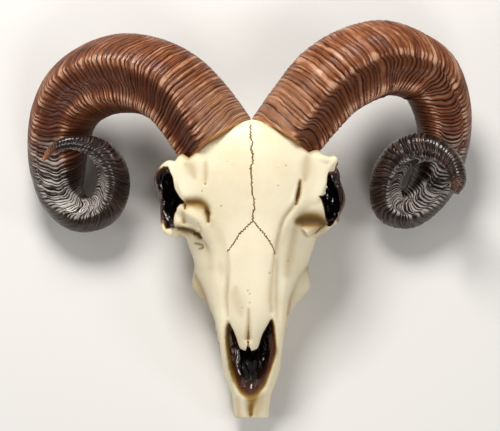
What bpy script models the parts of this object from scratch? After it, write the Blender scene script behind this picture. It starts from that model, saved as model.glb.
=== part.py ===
"""A life-size cast of a horned ram's skull, lying on its cheek teeth and the processes behind them.

Run with: blender --background --python part.py

The skull is laid out in a face frame, in millimetres: x to the viewer's right, u up the face from the
nose to the horns, and f straight out of the forehead towards the viewer. An empty turns that frame into
the resting pose, where the palate is level and +Z is up. The outlines follow the front view. The bones
are moulded as one skull, cut level where it rests, and then parted along the sutures.
"""
import math

import bmesh
import bpy
import numpy as np
from mathutils import Matrix, Vector

MM = 0.001

# Driving dimensions
FACE_TILT = math.radians(16)        # slope of the face above the floor, nose down
FLOOR_DEPTH = 109.0                 # mm from the root of the nose down to the floor
REST_SHIFT = (1.55, -11.7)          # mm, puts the middle of the outline over the origin
PARTING = 0.3                       # mm of gap between neighbouring pieces
CLAY = 1.8                          # mm, grain of the moulded bone
BONE_TRIANGLES = 3700               # of the whole skull before it is parted
HORN_SIDES = 14
HORN_RINGS = 45
LEFT, RIGHT = 1, -1                 # the animal's sides: its left is the viewer's right, +x

BONE_COLOUR = (0.80, 0.73, 0.58)
HORN_COLOUR = (0.20, 0.085, 0.045)


# ---------------------------------------------------------------- scene and helpers

def clear_scene():
    for old in list(bpy.data.objects):
        bpy.data.objects.remove(old)


def collection(name, hidden=False):
    made = bpy.data.collections.new(name)
    bpy.context.scene.collection.children.link(made)
    made.hide_render = hidden
    return made


def face_point(x, y, z):
    """A point of the resting frame, measured from the root of the nose, in the face frame."""
    cos, sin = math.cos(FACE_TILT), math.sin(FACE_TILT)
    return (x, y * cos + z * sin, z * cos - y * sin)


def add_mesh(name, mesh, into):
    made = bpy.data.objects.new(name, mesh)
    into.objects.link(made)
    return made


def mesh_from(bm, name):
    bmesh.ops.recalc_face_normals(bm, faces=bm.faces)
    mesh = bpy.data.meshes.new(name)
    bm.to_mesh(mesh)
    bm.free()
    return mesh


def evaluated_mesh(obj):
    """The object's mesh with its modifiers applied, in the face frame."""
    bpy.context.view_layer.update()
    graph = bpy.context.evaluated_depsgraph_get()
    mesh = bpy.data.meshes.new_from_object(obj.evaluated_get(graph))
    mesh.transform(obj.matrix_world)
    return mesh


def with_modifier(obj, name, kind, **settings):
    """Gives the object a modifier and bakes it in."""
    step = obj.modifiers.new(name, kind)
    for setting, value in settings.items():
        setattr(step, setting, value)
    obj.data = evaluated_mesh(obj)
    obj.modifiers.clear()
    return obj


def moulded(obj, grain):
    """Melts the object's overlapping pieces into one skin, on a grid of this many millimetres."""
    return with_modifier(obj, "moulded", "REMESH", mode="VOXEL", voxel_size=grain * MM)


def cut_away(obj, cutter, folded=False):
    """Takes the cutter's shape out of the object, whose skin may be folded, and removes the cutter."""
    with_modifier(obj, cutter.name, "BOOLEAN", operation="DIFFERENCE", object=cutter, solver="EXACT",
                  use_self=folded)
    bpy.data.objects.remove(cutter)
    return obj


def join(name, pieces, into):
    bm = bmesh.new()
    for piece in pieces:
        bm.from_mesh(piece.data)
        bpy.data.objects.remove(piece)
    return add_mesh(name, mesh_from(bm, name), into)


def cut_flat(obj, point, normal):
    """Cuts away what lies on the normal's side of a plane, and closes the cut with flat faces."""
    bm = bmesh.new()
    bm.from_mesh(obj.data)
    found = bmesh.ops.bisect_plane(bm, geom=bm.verts[:] + bm.edges[:] + bm.faces[:], dist=1e-6,
                                   plane_co=Vector(point) * MM, plane_no=normal, clear_outer=True)
    edges = [item for item in found["geom_cut"] if isinstance(item, bmesh.types.BMEdge)]
    bmesh.ops.holes_fill(bm, edges=edges, sides=0)
    obj.data = mesh_from(bm, obj.name)
    return obj


def smooth_through(knots, values, at):
    """Values at the places in at, on a smooth curve through the values at the knots."""
    knots = np.asarray(knots, float)
    values = np.asarray(values, float)
    slopes = np.gradient(values, knots, axis=0)
    span = np.clip(np.searchsorted(knots, at, side="right") - 1, 0, len(knots) - 2)
    step = knots[span + 1] - knots[span]
    t = (at - knots[span]) / step
    shape = (-1,) + (1,) * (values.ndim - 1)
    t, step = t.reshape(shape), step.reshape(shape)
    return ((1 + 2 * t) * (1 - t) ** 2 * values[span] + t * (1 - t) ** 2 * step * slopes[span]
            + t * t * (3 - 2 * t) * values[span + 1] + t * t * (t - 1) * step * slopes[span + 1])


def loft(name, rings, into):
    """A closed solid through rings of equal point count, given in face-frame millimetres."""
    bm = bmesh.new()
    rows = [[bm.verts.new(Vector(p) * MM) for p in ring] for ring in rings]
    for low, high in zip(rows, rows[1:]):
        for k in range(len(low)):
            following = (k + 1) % len(low)
            bm.faces.new((low[k], low[following], high[following], high[k]))
    bm.faces.new(list(reversed(rows[0])))
    bm.faces.new(rows[-1])
    return add_mesh(name, mesh_from(bm, name), into)


def lump(name, centre, radii, into, turn=(0.0, 0.0, 0.0)):
    """An ellipsoid of bone."""
    bm = bmesh.new()
    bmesh.ops.create_uvsphere(bm, u_segments=28, v_segments=18, radius=1)
    place = Matrix.Translation(Vector(centre) * MM)
    for axis, angle in zip("XYZ", turn):
        place = place @ Matrix.Rotation(math.radians(angle), 4, axis)
    bm.transform(place @ Matrix.Diagonal((*(r * MM for r in radii), 1)))
    return add_mesh(name, mesh_from(bm, name), into)


def block(name, centre, size, into, turn=0.0, top=1.0):
    """A box in the resting frame's directions, its upper face scaled by top."""
    bm = bmesh.new()
    bmesh.ops.create_cube(bm, size=1)
    for vert in bm.verts:
        if vert.co.z > 0:
            vert.co.x *= top
            vert.co.y *= top
    bm.transform(Matrix.Translation(Vector(centre) * MM) @ Matrix.Rotation(-FACE_TILT, 4, "X")
                 @ Matrix.Rotation(math.radians(turn), 4, "Z")
                 @ Matrix.Diagonal((*(s * MM for s in size), 1)))
    return add_mesh(name, mesh_from(bm, name), into)


def slab(name, low, high, into):
    """A box from one corner to the other in the face frame."""
    middle = (Vector(low) + Vector(high)) / 2 * MM
    size = (Vector(high) - Vector(low)) * MM
    bm = bmesh.new()
    bmesh.ops.create_cube(bm, size=1)
    bm.transform(Matrix.Translation(middle) @ Matrix.Diagonal((*size, 1)))
    return add_mesh(name, mesh_from(bm, name), into)


def curve_mesh(made, into):
    """Turns a curve object into a closed mesh object of the same name."""
    name = made.name
    mesh = evaluated_mesh(made)
    bpy.data.objects.remove(made)
    bm = bmesh.new()
    bm.from_mesh(mesh)
    bmesh.ops.remove_doubles(bm, verts=bm.verts, dist=1e-6)
    return add_mesh(name, mesh_from(bm, name), into)


def poly_curve(name, points, into, closed=False):
    """A curve object through points of (x, u, f, radius, turn)."""
    curve = bpy.data.curves.new(name, "CURVE")
    curve.dimensions = "3D"
    curve.use_fill_caps = True
    spline = curve.splines.new("POLY")
    spline.points.add(len(points) - 1)
    spline.use_cyclic_u = closed
    for target, (x, u, f, radius, turn) in zip(spline.points, points):
        target.co = (x * MM, u * MM, f * MM, 1)
        target.radius = radius
        target.tilt = turn
    made = bpy.data.objects.new(name, curve)
    into.objects.link(made)
    return made


def rod(name, route, into, closed=False):
    """A bar of bone along route, a list of (x, u, f, radius)."""
    points = np.asarray(route, float)
    if closed:
        points = np.vstack([points[-2:], points, points[:3]])
    first, last = (2, len(points) - 3) if closed else (0, len(points) - 1)
    fine = smooth_through(np.arange(len(points)), points, np.linspace(first, last, 6 * (last - first) + 1))
    if closed:
        fine = fine[:-1]
    made = poly_curve(name, [(*point, 0) for point in fine], into, closed)
    made.data.bevel_depth = MM
    made.data.bevel_resolution = 3
    return curve_mesh(made, into)


def prism(name, outline, low, high, into):
    """A flat outline of (x, u) points, standing from depth low to depth high."""
    bm = bmesh.new()
    bottom = bm.faces.new([bm.verts.new((x * MM, u * MM, low * MM)) for x, u in outline])
    made = bmesh.ops.extrude_face_region(bm, geom=[bottom])["geom"]
    bmesh.ops.translate(bm, vec=(0, 0, (high - low) * MM),
                        verts=[v for v in made if isinstance(v, bmesh.types.BMVert)])
    return add_mesh(name, mesh_from(bm, name), into)


def on_side(side, route):
    """A route drawn for +x, put on the given side."""
    return [(side * x, *rest) for x, *rest in route]


# ---------------------------------------------------------------- the head's main form

# Half sections of the head, from the ridge of the face round to the palate. At each height u up the face
# the ten (x, f) points are: middle, mid plate, edge of the nasal plate, gutter beside it, cheek,
# crest or orbit margin, cheek-tooth bulge, outer gum, inner gum, middle of the palate.
HEAD_SECTIONS = {
    -178: [(0, -44), (5, -43.5), (9, -43), (11, -43.3), (13, -44.5), (14.8, -47), (14.5, -50),
           (11.5, -52), (6, -52.5), (0, -52)],
    -168: [(0, -41), (6, -40), (10, -39.5), (12.5, -40), (14.8, -41.5), (16, -45), (15.6, -49),
           (12, -53), (6, -54), (0, -53.5)],
    -155: [(0, -36), (7, -35), (11, -34.5), (14, -35), (16.0, -37), (17.5, -41), (17.2, -48),
           (13.5, -54.5), (7, -56.5), (0, -56)],
    -140: [(0, -28.5), (9, -28), (14, -28), (18, -28.8), (21, -31), (23.2, -36.5), (23.2, -47),
           (16.5, -57), (8, -60.5), (0, -59.5)],
    -118: [(0, -18), (11, -18), (18, -18.2), (22, -19.5), (25, -22.5), (26.6, -30), (26.6, -46),
           (21.5, -61.5), (12, -66.5), (0, -64.5)],
    -96: [(0, -11), (11, -11.3), (19, -12.5), (23.5, -15), (27.5, -18.5), (30, -27), (30.4, -48),
          (26, -68.5), (16.5, -73.5), (0, -69)],
    -80: [(0, -7.8), (11, -8.3), (19.3, -9.8), (22.5, -13.8), (28, -17), (33.5, -27), (38, -57),
          (33, -75), (22, -79.5), (0, -73)],
    -64: [(0, -5), (11, -5.5), (19.5, -7), (22.5, -11.5), (30, -15.5), (38.5, -29), (51.5, -60),
          (41, -81), (25, -85), (0, -76.5)],
    -43: [(0, -2.3), (11, -2.8), (20, -4.5), (23.5, -9.5), (33, -15), (46, -32), (50, -57),
          (42, -86.5), (26, -90), (0, -81)],
    -26: [(0, -0.5), (11, -1), (20, -3), (25, -7), (37, -14), (54, -36), (52, -56),
          (40, -91), (25, -94), (0, -85)],
    -8: [(0, 1.5), (12, 1), (22, -0.5), (30, -3), (42, -10), (58, -26), (52, -52),
         (36, -90), (23, -97), (0, -90)],
    12: [(0, 5), (14, 4.5), (27, 2.5), (38, 0), (49, -3), (59, -8), (52, -26),
         (34, -62), (22, -96), (0, -94)],
    30: [(0, 8), (14, 7.5), (28, 5.5), (41, 2), (54, -3), (65.5, -9), (54, -26),
         (36, -58), (22, -93), (0, -94)],
    46: [(0, 9), (14, 8.5), (28, 6.5), (42, 2), (55, -4), (66, -12), (55, -30),
         (38, -56), (22, -88), (0, -91)],
    62: [(0, 7.5), (12, 7), (24, 5), (35, 0), (45, -7), (53, -18), (48, -36),
         (36, -56), (21, -82), (0, -86)],
    76: [(0, 3), (9, 2.5), (18, 0), (27, -5), (34, -13), (39, -24), (38, -40),
         (30, -56), (17, -74), (0, -78)],
    84: [(0, -3), (7, -3.5), (14, -6), (21, -11), (26, -19), (29, -29), (27, -42),
         (21, -54), (12, -65), (0, -68)],
}
HEAD_STEP = 4.0                     # mm between rings along the face
SECTION_STEPS = 4                   # points between two named points of a section


def head_form(into):
    heights = np.array(sorted(HEAD_SECTIONS), float)
    sections = np.array([HEAD_SECTIONS[int(u)] for u in heights], float)
    rings = []
    for u in np.arange(heights[0], heights[-1] + 0.1, HEAD_STEP):
        half = smooth_through(heights, sections, np.array([u]))[0]
        around = np.vstack([half, half[-2:0:-1] * (-1, 1)])
        looped = np.vstack([around[-2:], around, around[:3]])
        places = np.arange(2, 2 + len(around), 1 / SECTION_STEPS)
        rings.append([(x, u, f) for x, f in smooth_through(np.arange(len(looped)), looped, places)])
    return loft("head_form", rings, into)


# The nasal plate from its upper end, the point of the suture's V: height u, half width, depth of its ridge.
NASAL_PLATE = [(-2, 1.5, 1.6), (-10, 8, 1.4), (-20, 15.5, 0.8), (-29, 20.3, 0.0), (-45, 20.2, -1.8),
               (-62, 19.5, -3.9), (-78, 19.2, -6.3), (-87, 18.8, -8.2), (-92, 16.6, -9.4),
               (-101, 12.0, -12.0), (-109, 9.2, -14.8), (-114, 7.0, -17.0), (-116, 4.0, -18.2)]
NASAL_CROWN = 3.2                   # mm that the plate's edge lies below its ridge
NASAL_THICKNESS = 6.5
NASAL_NOTCH = [(-4.2, -121), (-2.8, -96), (-2.3, -88), (-1.8, -96), (-0.4, -121)]


def nasal_plate(name, into, grown=0.0, rise=0.0):
    """The plate itself or, with grown and rise, the space round it and above it."""
    u, width, ridge = np.array(NASAL_PLATE[::-1], float).T
    rings = []
    for height in np.linspace(u[0], u[-1], 32):
        half, top = smooth_through(u, np.column_stack([width, ridge]), np.array([height]))[0]
        across = np.linspace(-1, 1, 9) * (half + grown)
        place = height + grown * (2 * (height - u[0]) / (u[-1] - u[0]) - 1)
        upper = [(x, place, top - NASAL_CROWN * (x / half) ** 2 + rise) for x in across]
        lower = [(x, place, top - NASAL_THICKNESS - grown) for x in across[::-1]]
        rings.append(upper + lower)
    return loft(name, rings, into)


# ---------------------------------------------------------------- orbits, cheek arches and base

# The rim of each orbit, once round from its top corner: x, u, f and the rim's radius.
ORBIT_RIM = {
    LEFT: [(70.5, 47.5, -12, 4.2), (70.5, 38.5, -18, 3.2), (74, 28.5, -27, 3.4), (78.4, 15, -36, 3.6),
           (76, 5, -41, 3.6), (70, -3, -41, 3.8), (63.5, -7, -34, 4.2), (62, -1, -21, 4.4),
           (60, 8, -13, 3.6), (60, 18, -11, 3.0), (61.5, 27, -11, 3.0), (63.5, 37, -12, 3.4)],
    RIGHT: [(-69, 43.5, -14, 4.2), (-77, 38.5, -20, 4.0), (-80.8, 30, -27, 3.8), (-77.5, 18, -35, 3.4),
            (-76.5, 7, -39, 3.4), (-76, -4, -41, 3.6), (-73.5, -12.5, -39, 4.2), (-65.5, -14.5, -33, 4.6),
            (-62.5, -5, -22, 4.8), (-61, 5, -15, 4.0), (-62, 17, -12, 3.0), (-66, 31, -11, 3.2)],
}
CHEEK_ARCH = [(71, -6, -44, 5.2), (73, 6, -51, 5.0), (71, 20, -61, 5.0), (64, 32, -68, 5.5),
              (52, 41, -72, 7.0), (40, 44, -72, 7.0)]
CHEEK_FOOT = [(68, -7, -41, 4.4), (60, -11.5, -41, 5.0), (50, -18, -43, 6.5), (42, -30, -46, 7.0)]
TEAR_BONE = [(62, -2, -20, 5.0), (55, -6, -18, 6.5), (45, -14, -17, 7.0)]
ORBIT_CENTRE = (66, 14, -27)
ORBIT_RADII = (36, 23, 15.5)
ORBIT_TURN = -35                    # degrees, from straight sideways towards the viewer


def orbit_cup(side, into):
    return [lump("orbit_cup", (side * 45, 14, -35), (33.5, 35, 31), into),
            lump("orbit_back", (side * 62, 33, -32), (15, 15, 15), into)]


def orbit_hollow(side, into):
    """The eye socket, a deep oval that opens sideways and forwards."""
    x, u, f = ORBIT_CENTRE
    return lump("orbit_hollow", (side * x, u, f), ORBIT_RADII, into, turn=(0, side * ORBIT_TURN, 0))


def cheek_bars(side, into):
    return [
        rod("cheek_arch", on_side(side, CHEEK_ARCH), into),
        rod("cheek_foot", on_side(side, CHEEK_FOOT), into),
        rod("tear_bone", on_side(side, TEAR_BONE), into),
        rod("orbit_rim", ORBIT_RIM[side], into, closed=True),
    ]


def skull_base(into):
    """The braincase and the bones under it, placed in the resting frame."""
    made = [
        lump("braincase", face_point(0, 48, -44), (39, 44, 38), into),
        lump("nape", face_point(0, 80, -50), (35, 15, 40), into),
        rod("base_bar", [(*face_point(0, 88, -88), 10), (*face_point(0, 60, -92), 10),
                         (*face_point(0, 25, -88), 9), (*face_point(0, 5, -84), 8)], into),
    ]
    for side in (LEFT, RIGHT):
        made.append(lump("condyle", face_point(side * 14, 91, -84), (10, 11, 13), into))
        made.append(lump("jaw_joint", (side * 46, 43, -73), (15, 9, 8), into))
        made.append(rod("ear_process", [(*face_point(side * 31, 76, -62), 9),
                                        (*face_point(side * 31, 78, -88), 7),
                                        (*face_point(side * 29, 78, -114), 4.5)], into))
        made.append(lump("bulla", face_point(side * 24, 62, -92), (9, 13, 10), into))
        made.append(rod("wing_plate", [(*face_point(side * 20, 2, -88), 5),
                                       (*face_point(side * 18, 14, -94), 4),
                                       (*face_point(side * 17, 24, -98), 3)], into))
    return made


# Cheek teeth from the front one back: length along the row and breadth.
CHEEK_TEETH = [(8.5, 9), (10, 10.5), (11, 12), (14, 13.5), (16.5, 14), (17.5, 13)]
TOOTH_ROW_FRONT = -88.0             # mm from the root of the nose, along the floor
TOOTH_ROW_HALF_GAUGE = (25.5, 34.0)  # mm from the middle to the row's centre, at its front and back
TOOTH_HEIGHT = 26.0
TOOTH_TURN = 6.0                    # degrees that each row spreads backwards


def cheek_teeth(side, into):
    made = []
    row_length = sum(length for length, _ in CHEEK_TEETH)
    front, back = TOOTH_ROW_HALF_GAUGE
    y = TOOTH_ROW_FRONT
    for length, breadth in CHEEK_TEETH:
        x = front + (back - front) * (y + length / 2 - TOOTH_ROW_FRONT) / row_length
        centre = face_point(side * x, y + length / 2, TOOTH_HEIGHT / 2 - FLOOR_DEPTH - 3)
        made.append(block("cheek_tooth", centre, (breadth, length - 1.0, TOOTH_HEIGHT), into,
                          turn=-side * TOOTH_TURN, top=1.08))
        y += length
    return made


# ---------------------------------------------------------------- hollows cut into the bone

# Outline of the nose opening, in the face frame, from its upper left corner downwards and round.
NOSE_OPENING = [(-20.5, -88), (-23.5, -96), (-24, -107), (-22, -124), (-20.5, -136), (-17, -147),
                (-9.5, -157.5), (-4, -161.5), (0.5, -162), (5, -159.5), (12.5, -150), (17.2, -136),
                (21, -124), (22.6, -115), (21.4, -104), (20, -92), (17.5, -84), (0, -78)]
NOSE_FLOOR = -49.0
PALATE_HOLLOW = [(0, -150, -62, 5), (0, -110, -74, 10), (0, -60, -88, 15), (0, -15, -101, 14)]
LIP_NOTCH = [(-2.2, -184), (-1.0, -165), (0.4, -165), (1.6, -184)]
TEAR_PITS = [(LEFT, (50, -6, -10), (12, 4.5, 7)), (RIGHT, (-52, -17, -20), (10, 4, 6)),
             (RIGHT, (-47, 9, -7), (9, 4, 5))]


def hollows(into):
    made = [
        prism("nose_opening", NOSE_OPENING, NOSE_FLOOR, 10, into),
        lump("nose_depth", (0, -92, -38), (19, 36, 17), into, turn=(14, 0, 0)),
        rod("palate_hollow", PALATE_HOLLOW, into),
        lump("throat", face_point(0, 22, -106), (13, 34, 13), into),
        lump("spine_hole", face_point(0, 98, -76), (9, 14, 8), into),
    ]
    return made + [orbit_hollow(side, into) for side in (LEFT, RIGHT)]


def fine_cuts(into):
    made = [prism("lip_notch", LIP_NOTCH, -60, -30, into), prism("nasal_notch", NASAL_NOTCH, -30, 5, into)]
    for side, centre, radii in TEAR_PITS:
        made.append(lump("tear_pit", centre, radii, into, turn=(0, side * 30, 0)))
    return made


# ---------------------------------------------------------------- horns

# Stations along each horn's middle line: x, u, f, half width and the turn of its front ridge in degrees.
# The first station lies inside the skull, under the horn's base.
HORN_COURSE = {
    RIGHT: [(-19, 48, -22, 35.0, 110), (-33.5, 69.5, -27, 35.7, 106), (-49.5, 91.5, -34, 35.4, 101),
            (-67.5, 109.5, -40, 35.6, 92), (-87, 120, -47, 35.8, 84), (-113, 124, -55, 36.6, 71),
            (-136, 119, -63, 35.3, 60), (-155, 107, -71, 33.3, 51), (-166, 91, -78, 31.0, 47),
            (-172, 67, -84, 29.0, 45), (-173, 41, -87, 26.0, 46), (-169, 18, -87, 21.3, 53),
            (-153, 2, -82, 17.2, 75), (-132, 6, -77, 15.8, 92), (-122, 26, -69, 15.0, 108),
            (-124, 45, -60, 13.4, 118), (-134, 58, -51, 10.8, 126), (-147, 63, -43, 7.9, 134),
            (-162, 63, -38, 5.7, 148), (-173, 58, -36, 3.9, 162), (-181, 48, -34, 1.4, 175)],
    LEFT: [(17, 51, -22, 32.5, 102), (32, 72, -27, 33.4, 100), (49, 94, -34, 34.8, 98),
           (68, 115, -41, 36.3, 95), (90, 129, -48, 36.6, 90), (115, 137, -56, 35.4, 82),
           (138.7, 133, -64, 32.2, 72), (156, 124, -71, 30.2, 65), (165.5, 108, -77, 28.6, 58),
           (171, 90, -83, 26.8, 50), (172, 72, -86, 25.2, 46), (169, 53, -87, 24.0, 44),
           (163, 32, -87, 22.6, 48), (152, 15, -86, 20.0, 56), (139, 5, -84, 17.6, 68),
           (124.5, 8, -80, 16.6, 82), (119, 23.5, -74, 14.8, 94), (122, 40, -67, 14.4, 105),
           (131.5, 53, -60, 14.2, 116), (149, 60, -51, 13.4, 130), (166, 55, -44, 10.8, 146),
           (177, 42, -37, 9.0, 160), (179, 28, -33, 7.2, 170), (176, 20, -31, 4.2, 178)],
}
# The horn's section, round from its front ridge: angle and share of the half width.
HORN_SECTION = [(0, 1.03), (29, 0.96), (58, 1.03), (110, 0.95), (160, 1.0), (215, 0.94), (265, 1.0),
                (315, 0.97)]
# The plane of each horn's base: a point on it and its outward direction, for +x.
HORN_BASE = {LEFT: (33, 66.5, 4), RIGHT: (33, 65.0, 4)}
HORN_BASE_OUT = Vector((0.53, 0.82, -0.21)).normalized()
HORN_GAP = 0.5                      # mm kept from the skull's middle plane
HORN_CORE = 0.92                    # thickness of the bone under the horn, as a share of the horn's
HORN_SOCKET = 1.02                  # the same, for the room that the skull leaves round the horn


def horn_section(name, mirror, into):
    """The horn's section as a curve, of half width 1, for the horn's bevel."""
    angles, shares = np.array(HORN_SECTION + [(360, HORN_SECTION[0][1])], float).T
    around = np.arange(HORN_SIDES) * 360 / HORN_SIDES
    curve = bpy.data.curves.new(name, "CURVE")
    curve.dimensions = "2D"
    spline = curve.splines.new("POLY")
    spline.points.add(HORN_SIDES - 1)
    spline.use_cyclic_u = True
    for target, angle, radius in zip(spline.points, np.radians(around), np.interp(around, angles, shares)):
        target.co = (mirror * radius * math.cos(angle) * MM, radius * math.sin(angle) * MM, 0, 1)
    made = bpy.data.objects.new(name, curve)
    made.hide_render = True
    into.objects.link(made)
    return made


def horn_sweep(name, side, into, thickness=1.0):
    """A tapering horn swept along its course, its front ridge turned as the course says."""
    route = np.array(HORN_COURSE[side], float)
    route[:, 3] *= thickness
    route[:, 4] = -side * np.radians(route[:, 4])
    steps = np.linalg.norm(np.diff(route[:, :3], axis=0), axis=1)
    knots = np.concatenate([[0], np.cumsum(steps)])
    fine = smooth_through(knots, route, np.linspace(0, knots[-1], HORN_RINGS))
    made = poly_curve(name, fine, into)
    section = horn_section(name + "_section", -side, into)
    made.data.twist_mode = "Z_UP"
    made.data.bevel_mode = "OBJECT"
    made.data.bevel_object = section
    swept = curve_mesh(made, into)
    bpy.data.objects.remove(section)
    return swept


def horn_base(side):
    """The point and the outward direction of a horn's base plane."""
    x, u, f = HORN_BASE[side]
    out = Vector((side * HORN_BASE_OUT.x, HORN_BASE_OUT.y, HORN_BASE_OUT.z))
    return Vector((side * x, u, f)), out


def horn_core(side, into):
    """The bone under the horn, a little thinner than the horn itself."""
    point, out = horn_base(side)
    core = cut_flat(horn_sweep("horn_core", side, into, thickness=HORN_CORE), point, out)
    return cut_flat(core, (0, 0, 0), (-side, 0, 0))


def horn_socket(side, into):
    """The space that a horn and the parting round it take out of the skull."""
    point, out = horn_base(side)
    return cut_flat(horn_sweep("horn_socket", side, into, thickness=HORN_SOCKET), point - out * PARTING, -out)


def horn(name, side, into):
    point, out = horn_base(side)
    made = cut_flat(horn_sweep(name, side, into), point, -out)
    return cut_flat(made, (side * HORN_GAP, 0, 0), (-side, 0, 0))


# ---------------------------------------------------------------- the whole skull

def carve(whole, cutters, into):
    return cut_away(whole, moulded(join("cutter", cutters, into), CLAY * 0.6))


def skull(into):
    body = [head_form(into)] + skull_base(into)
    for side in (LEFT, RIGHT):
        body += orbit_cup(side, into)
        body.append(horn_core(side, into))
    whole = moulded(join("skull", body, into), CLAY)
    carve(whole, hollows(into), into)
    ridges = [nasal_plate("nasal_plate", into)]
    for side in (LEFT, RIGHT):
        ridges += cheek_bars(side, into) + cheek_teeth(side, into)
    whole = moulded(join("skull", [whole] + ridges, into), CLAY)
    with_modifier(whole, "soften", "SMOOTH", factor=0.5, iterations=4)
    carve(whole, fine_cuts(into), into)
    with_modifier(whole, "fewer", "DECIMATE", ratio=BONE_TRIANGLES / (2 * len(whole.data.polygons)))
    for side in (LEFT, RIGHT):
        cut_away(whole, horn_socket(side, into), folded=True)
    return cut_flat(whole, face_point(0, 0, -FLOOR_DEPTH), face_point(0, 0, -1))


# ---------------------------------------------------------------- parting the bones

FAR = 250.0                         # mm, past the skull in every direction
MIDDLE = -0.6                       # x of the midline suture
FACE_TOP = -26.0                    # u where the cheek bones of the muzzle meet the forehead
BRAINCASE_DEPTH = -60.0             # f behind which the forehead gives way to the braincase
MUZZLE_SUTURE = [(0, -112), (60, -142)]     # between the tip of the muzzle and the cheek, for +x
CHEEK_BOX = [(68, -40, -90), (FAR, 33, -24)]    # corners of the space that holds the cheek bone, for +x

# A point of each bone, by which a piece is known once the skull is parted: x, u, f.
BONES = {
    "frontal_left": (30, 40, 4), "frontal_right": (-30, 40, 4), "nasal": (0, -50, -3),
    "maxilla_left": (40, -45, -25), "maxilla_right": (-40, -45, -25),
    "premaxilla_left": (10, -170, -41), "premaxilla_right": (-10, -170, -41),
    "zygomatic_left": (80, 12, -37), "zygomatic_right": (-80, 12, -37), "braincase": (0, 80, -100),
}
CRUMB = 30                          # vertices of the smallest piece that counts


def nasal_suture(into):
    """The thin space round the nasal plate and under it."""
    space = nasal_plate("nasal_suture", into, grown=PARTING, rise=6)
    return cut_away(space, nasal_plate("nasal_core", into, rise=7))


def muzzle_suture(side, into):
    near, far = MUZZLE_SUTURE
    line = [(-6, near[1] + 3), (far[0], far[1])]
    strip = line + [(x, u - PARTING) for x, u in reversed(line)]
    return prism("muzzle_suture", on_side(side, strip), -FAR, FAR, into)


def cheek_suture(side, into):
    """The three thin walls of the box that holds the cheek bone."""
    low, high = (np.array(corner, float) for corner in CHEEK_BOX)
    grown = slab("cheek_suture", low - (PARTING, FAR, FAR), high + (0, PARTING, PARTING), into)
    cut_away(grown, slab("cheek_space", low - (0, 2 * FAR, 2 * FAR), high + (FAR, 0, 0), into))
    grown.data.transform(Matrix.Diagonal((side, 1, 1, 1)))
    if side < 0:
        grown.data.flip_normals()
    return grown


def plane_suture(axis, place, into):
    """A thin cut across the whole skull, at this place along x, u or f."""
    low, high = [-FAR] * 3, [FAR] * 3
    low[axis], high[axis] = place - PARTING / 2, place + PARTING / 2
    return slab("plane_suture", low, high, into)


def loose_pieces(obj, into):
    """Splits an object into its separate closed pieces."""
    bm = bmesh.new()
    bm.from_mesh(obj.data)
    bm.verts.ensure_lookup_table()
    waiting = set(bm.verts)
    groups = []
    while waiting:
        front = [waiting.pop()]
        group = set(front)
        while front:
            around = {edge.other_vert(vert) for vert in front for edge in vert.link_edges} - group
            group |= around
            front = list(around)
        waiting -= group
        groups.append(group)
    made = []
    for group in groups:
        piece = bm.copy()
        piece.verts.ensure_lookup_table()
        kept = {vert.index for vert in group}
        bmesh.ops.delete(piece, geom=[v for v in piece.verts if v.index not in kept], context="VERTS")
        made.append(add_mesh("piece", mesh_from(piece, "piece"), into))
    bm.free()
    bpy.data.objects.remove(obj)
    return made


def distance_to(obj, point):
    target = Vector(point) * MM
    return min((vert.co - target).length for vert in obj.data.vertices)


def parted(obj, sutures, names, into):
    """Cuts the object along the sutures and returns its pieces, each the nearest to its bone's point."""
    for suture in sutures:
        cut_away(obj, suture, folded=True)
    pieces = loose_pieces(obj, into)
    found = []
    for name in names:
        bone = min(pieces, key=lambda piece: distance_to(piece, BONES[name]))
        pieces.remove(bone)
        bone.name = name
        found.append(bone)
    for piece in pieces:
        if len(piece.data.vertices) > CRUMB:
            raise ValueError("a piece of bone has no name")
        bpy.data.objects.remove(piece)
    return found


def part_bones(whole, into):
    """Parts the skull along its sutures, the bones of the surface first."""
    sides = (LEFT, RIGHT)
    nasal, rest = parted(whole, [nasal_suture(into)], ["nasal", "braincase"], into)
    *cheeks, rest = parted(rest, [cheek_suture(side, into) for side in sides],
                           ["zygomatic_left", "zygomatic_right", "braincase"], into)
    muzzle, cranium = parted(rest, [plane_suture(1, FACE_TOP, into)], ["maxilla_left", "braincase"], into)
    muzzle = parted(muzzle, [plane_suture(0, MIDDLE, into)] + [muzzle_suture(side, into) for side in sides],
                    ["maxilla_left", "maxilla_right", "premaxilla_left", "premaxilla_right"], into)
    forehead, braincase = parted(cranium, [plane_suture(2, BRAINCASE_DEPTH, into)],
                                 ["frontal_left", "braincase"], into)
    forehead = parted(forehead, [plane_suture(0, MIDDLE, into)], ["frontal_left", "frontal_right"], into)
    return [nasal, braincase] + cheeks + muzzle + forehead


# ---------------------------------------------------------------- making it

def finish(name, colour, roughness):
    made = bpy.data.materials.new(name)
    made.use_nodes = True
    shader = made.node_tree.nodes["Principled BSDF"]
    shader.inputs["Base Color"].default_value = (*colour, 1)
    shader.inputs["Roughness"].default_value = roughness
    return made


def build():
    clear_scene()
    parts = collection("ram_skull")
    helpers = collection("cutters", hidden=True)
    for bone in part_bones(skull(helpers), helpers):
        parts.objects.link(bone)
        helpers.objects.unlink(bone)
    for name, side in (("horn_left", LEFT), ("horn_right", RIGHT)):
        horn(name, side, parts)
    pose = bpy.data.objects.new("resting_pose", None)
    pose.rotation_euler.x = FACE_TILT
    pose.location = (REST_SHIFT[0] * MM, REST_SHIFT[1] * MM, FLOOR_DEPTH * MM)
    for obj in parts.objects:
        is_horn = obj.name.startswith("horn")
        obj.data.materials.clear()
        obj.data.materials.append(finish(obj.name, HORN_COLOUR if is_horn else BONE_COLOUR, 0.4))
        obj.parent = pose
    parts.objects.link(pose)


build()
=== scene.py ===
import math

import bmesh
import bpy
import numpy as np
from mathutils import Matrix, Vector, kdtree


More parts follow.
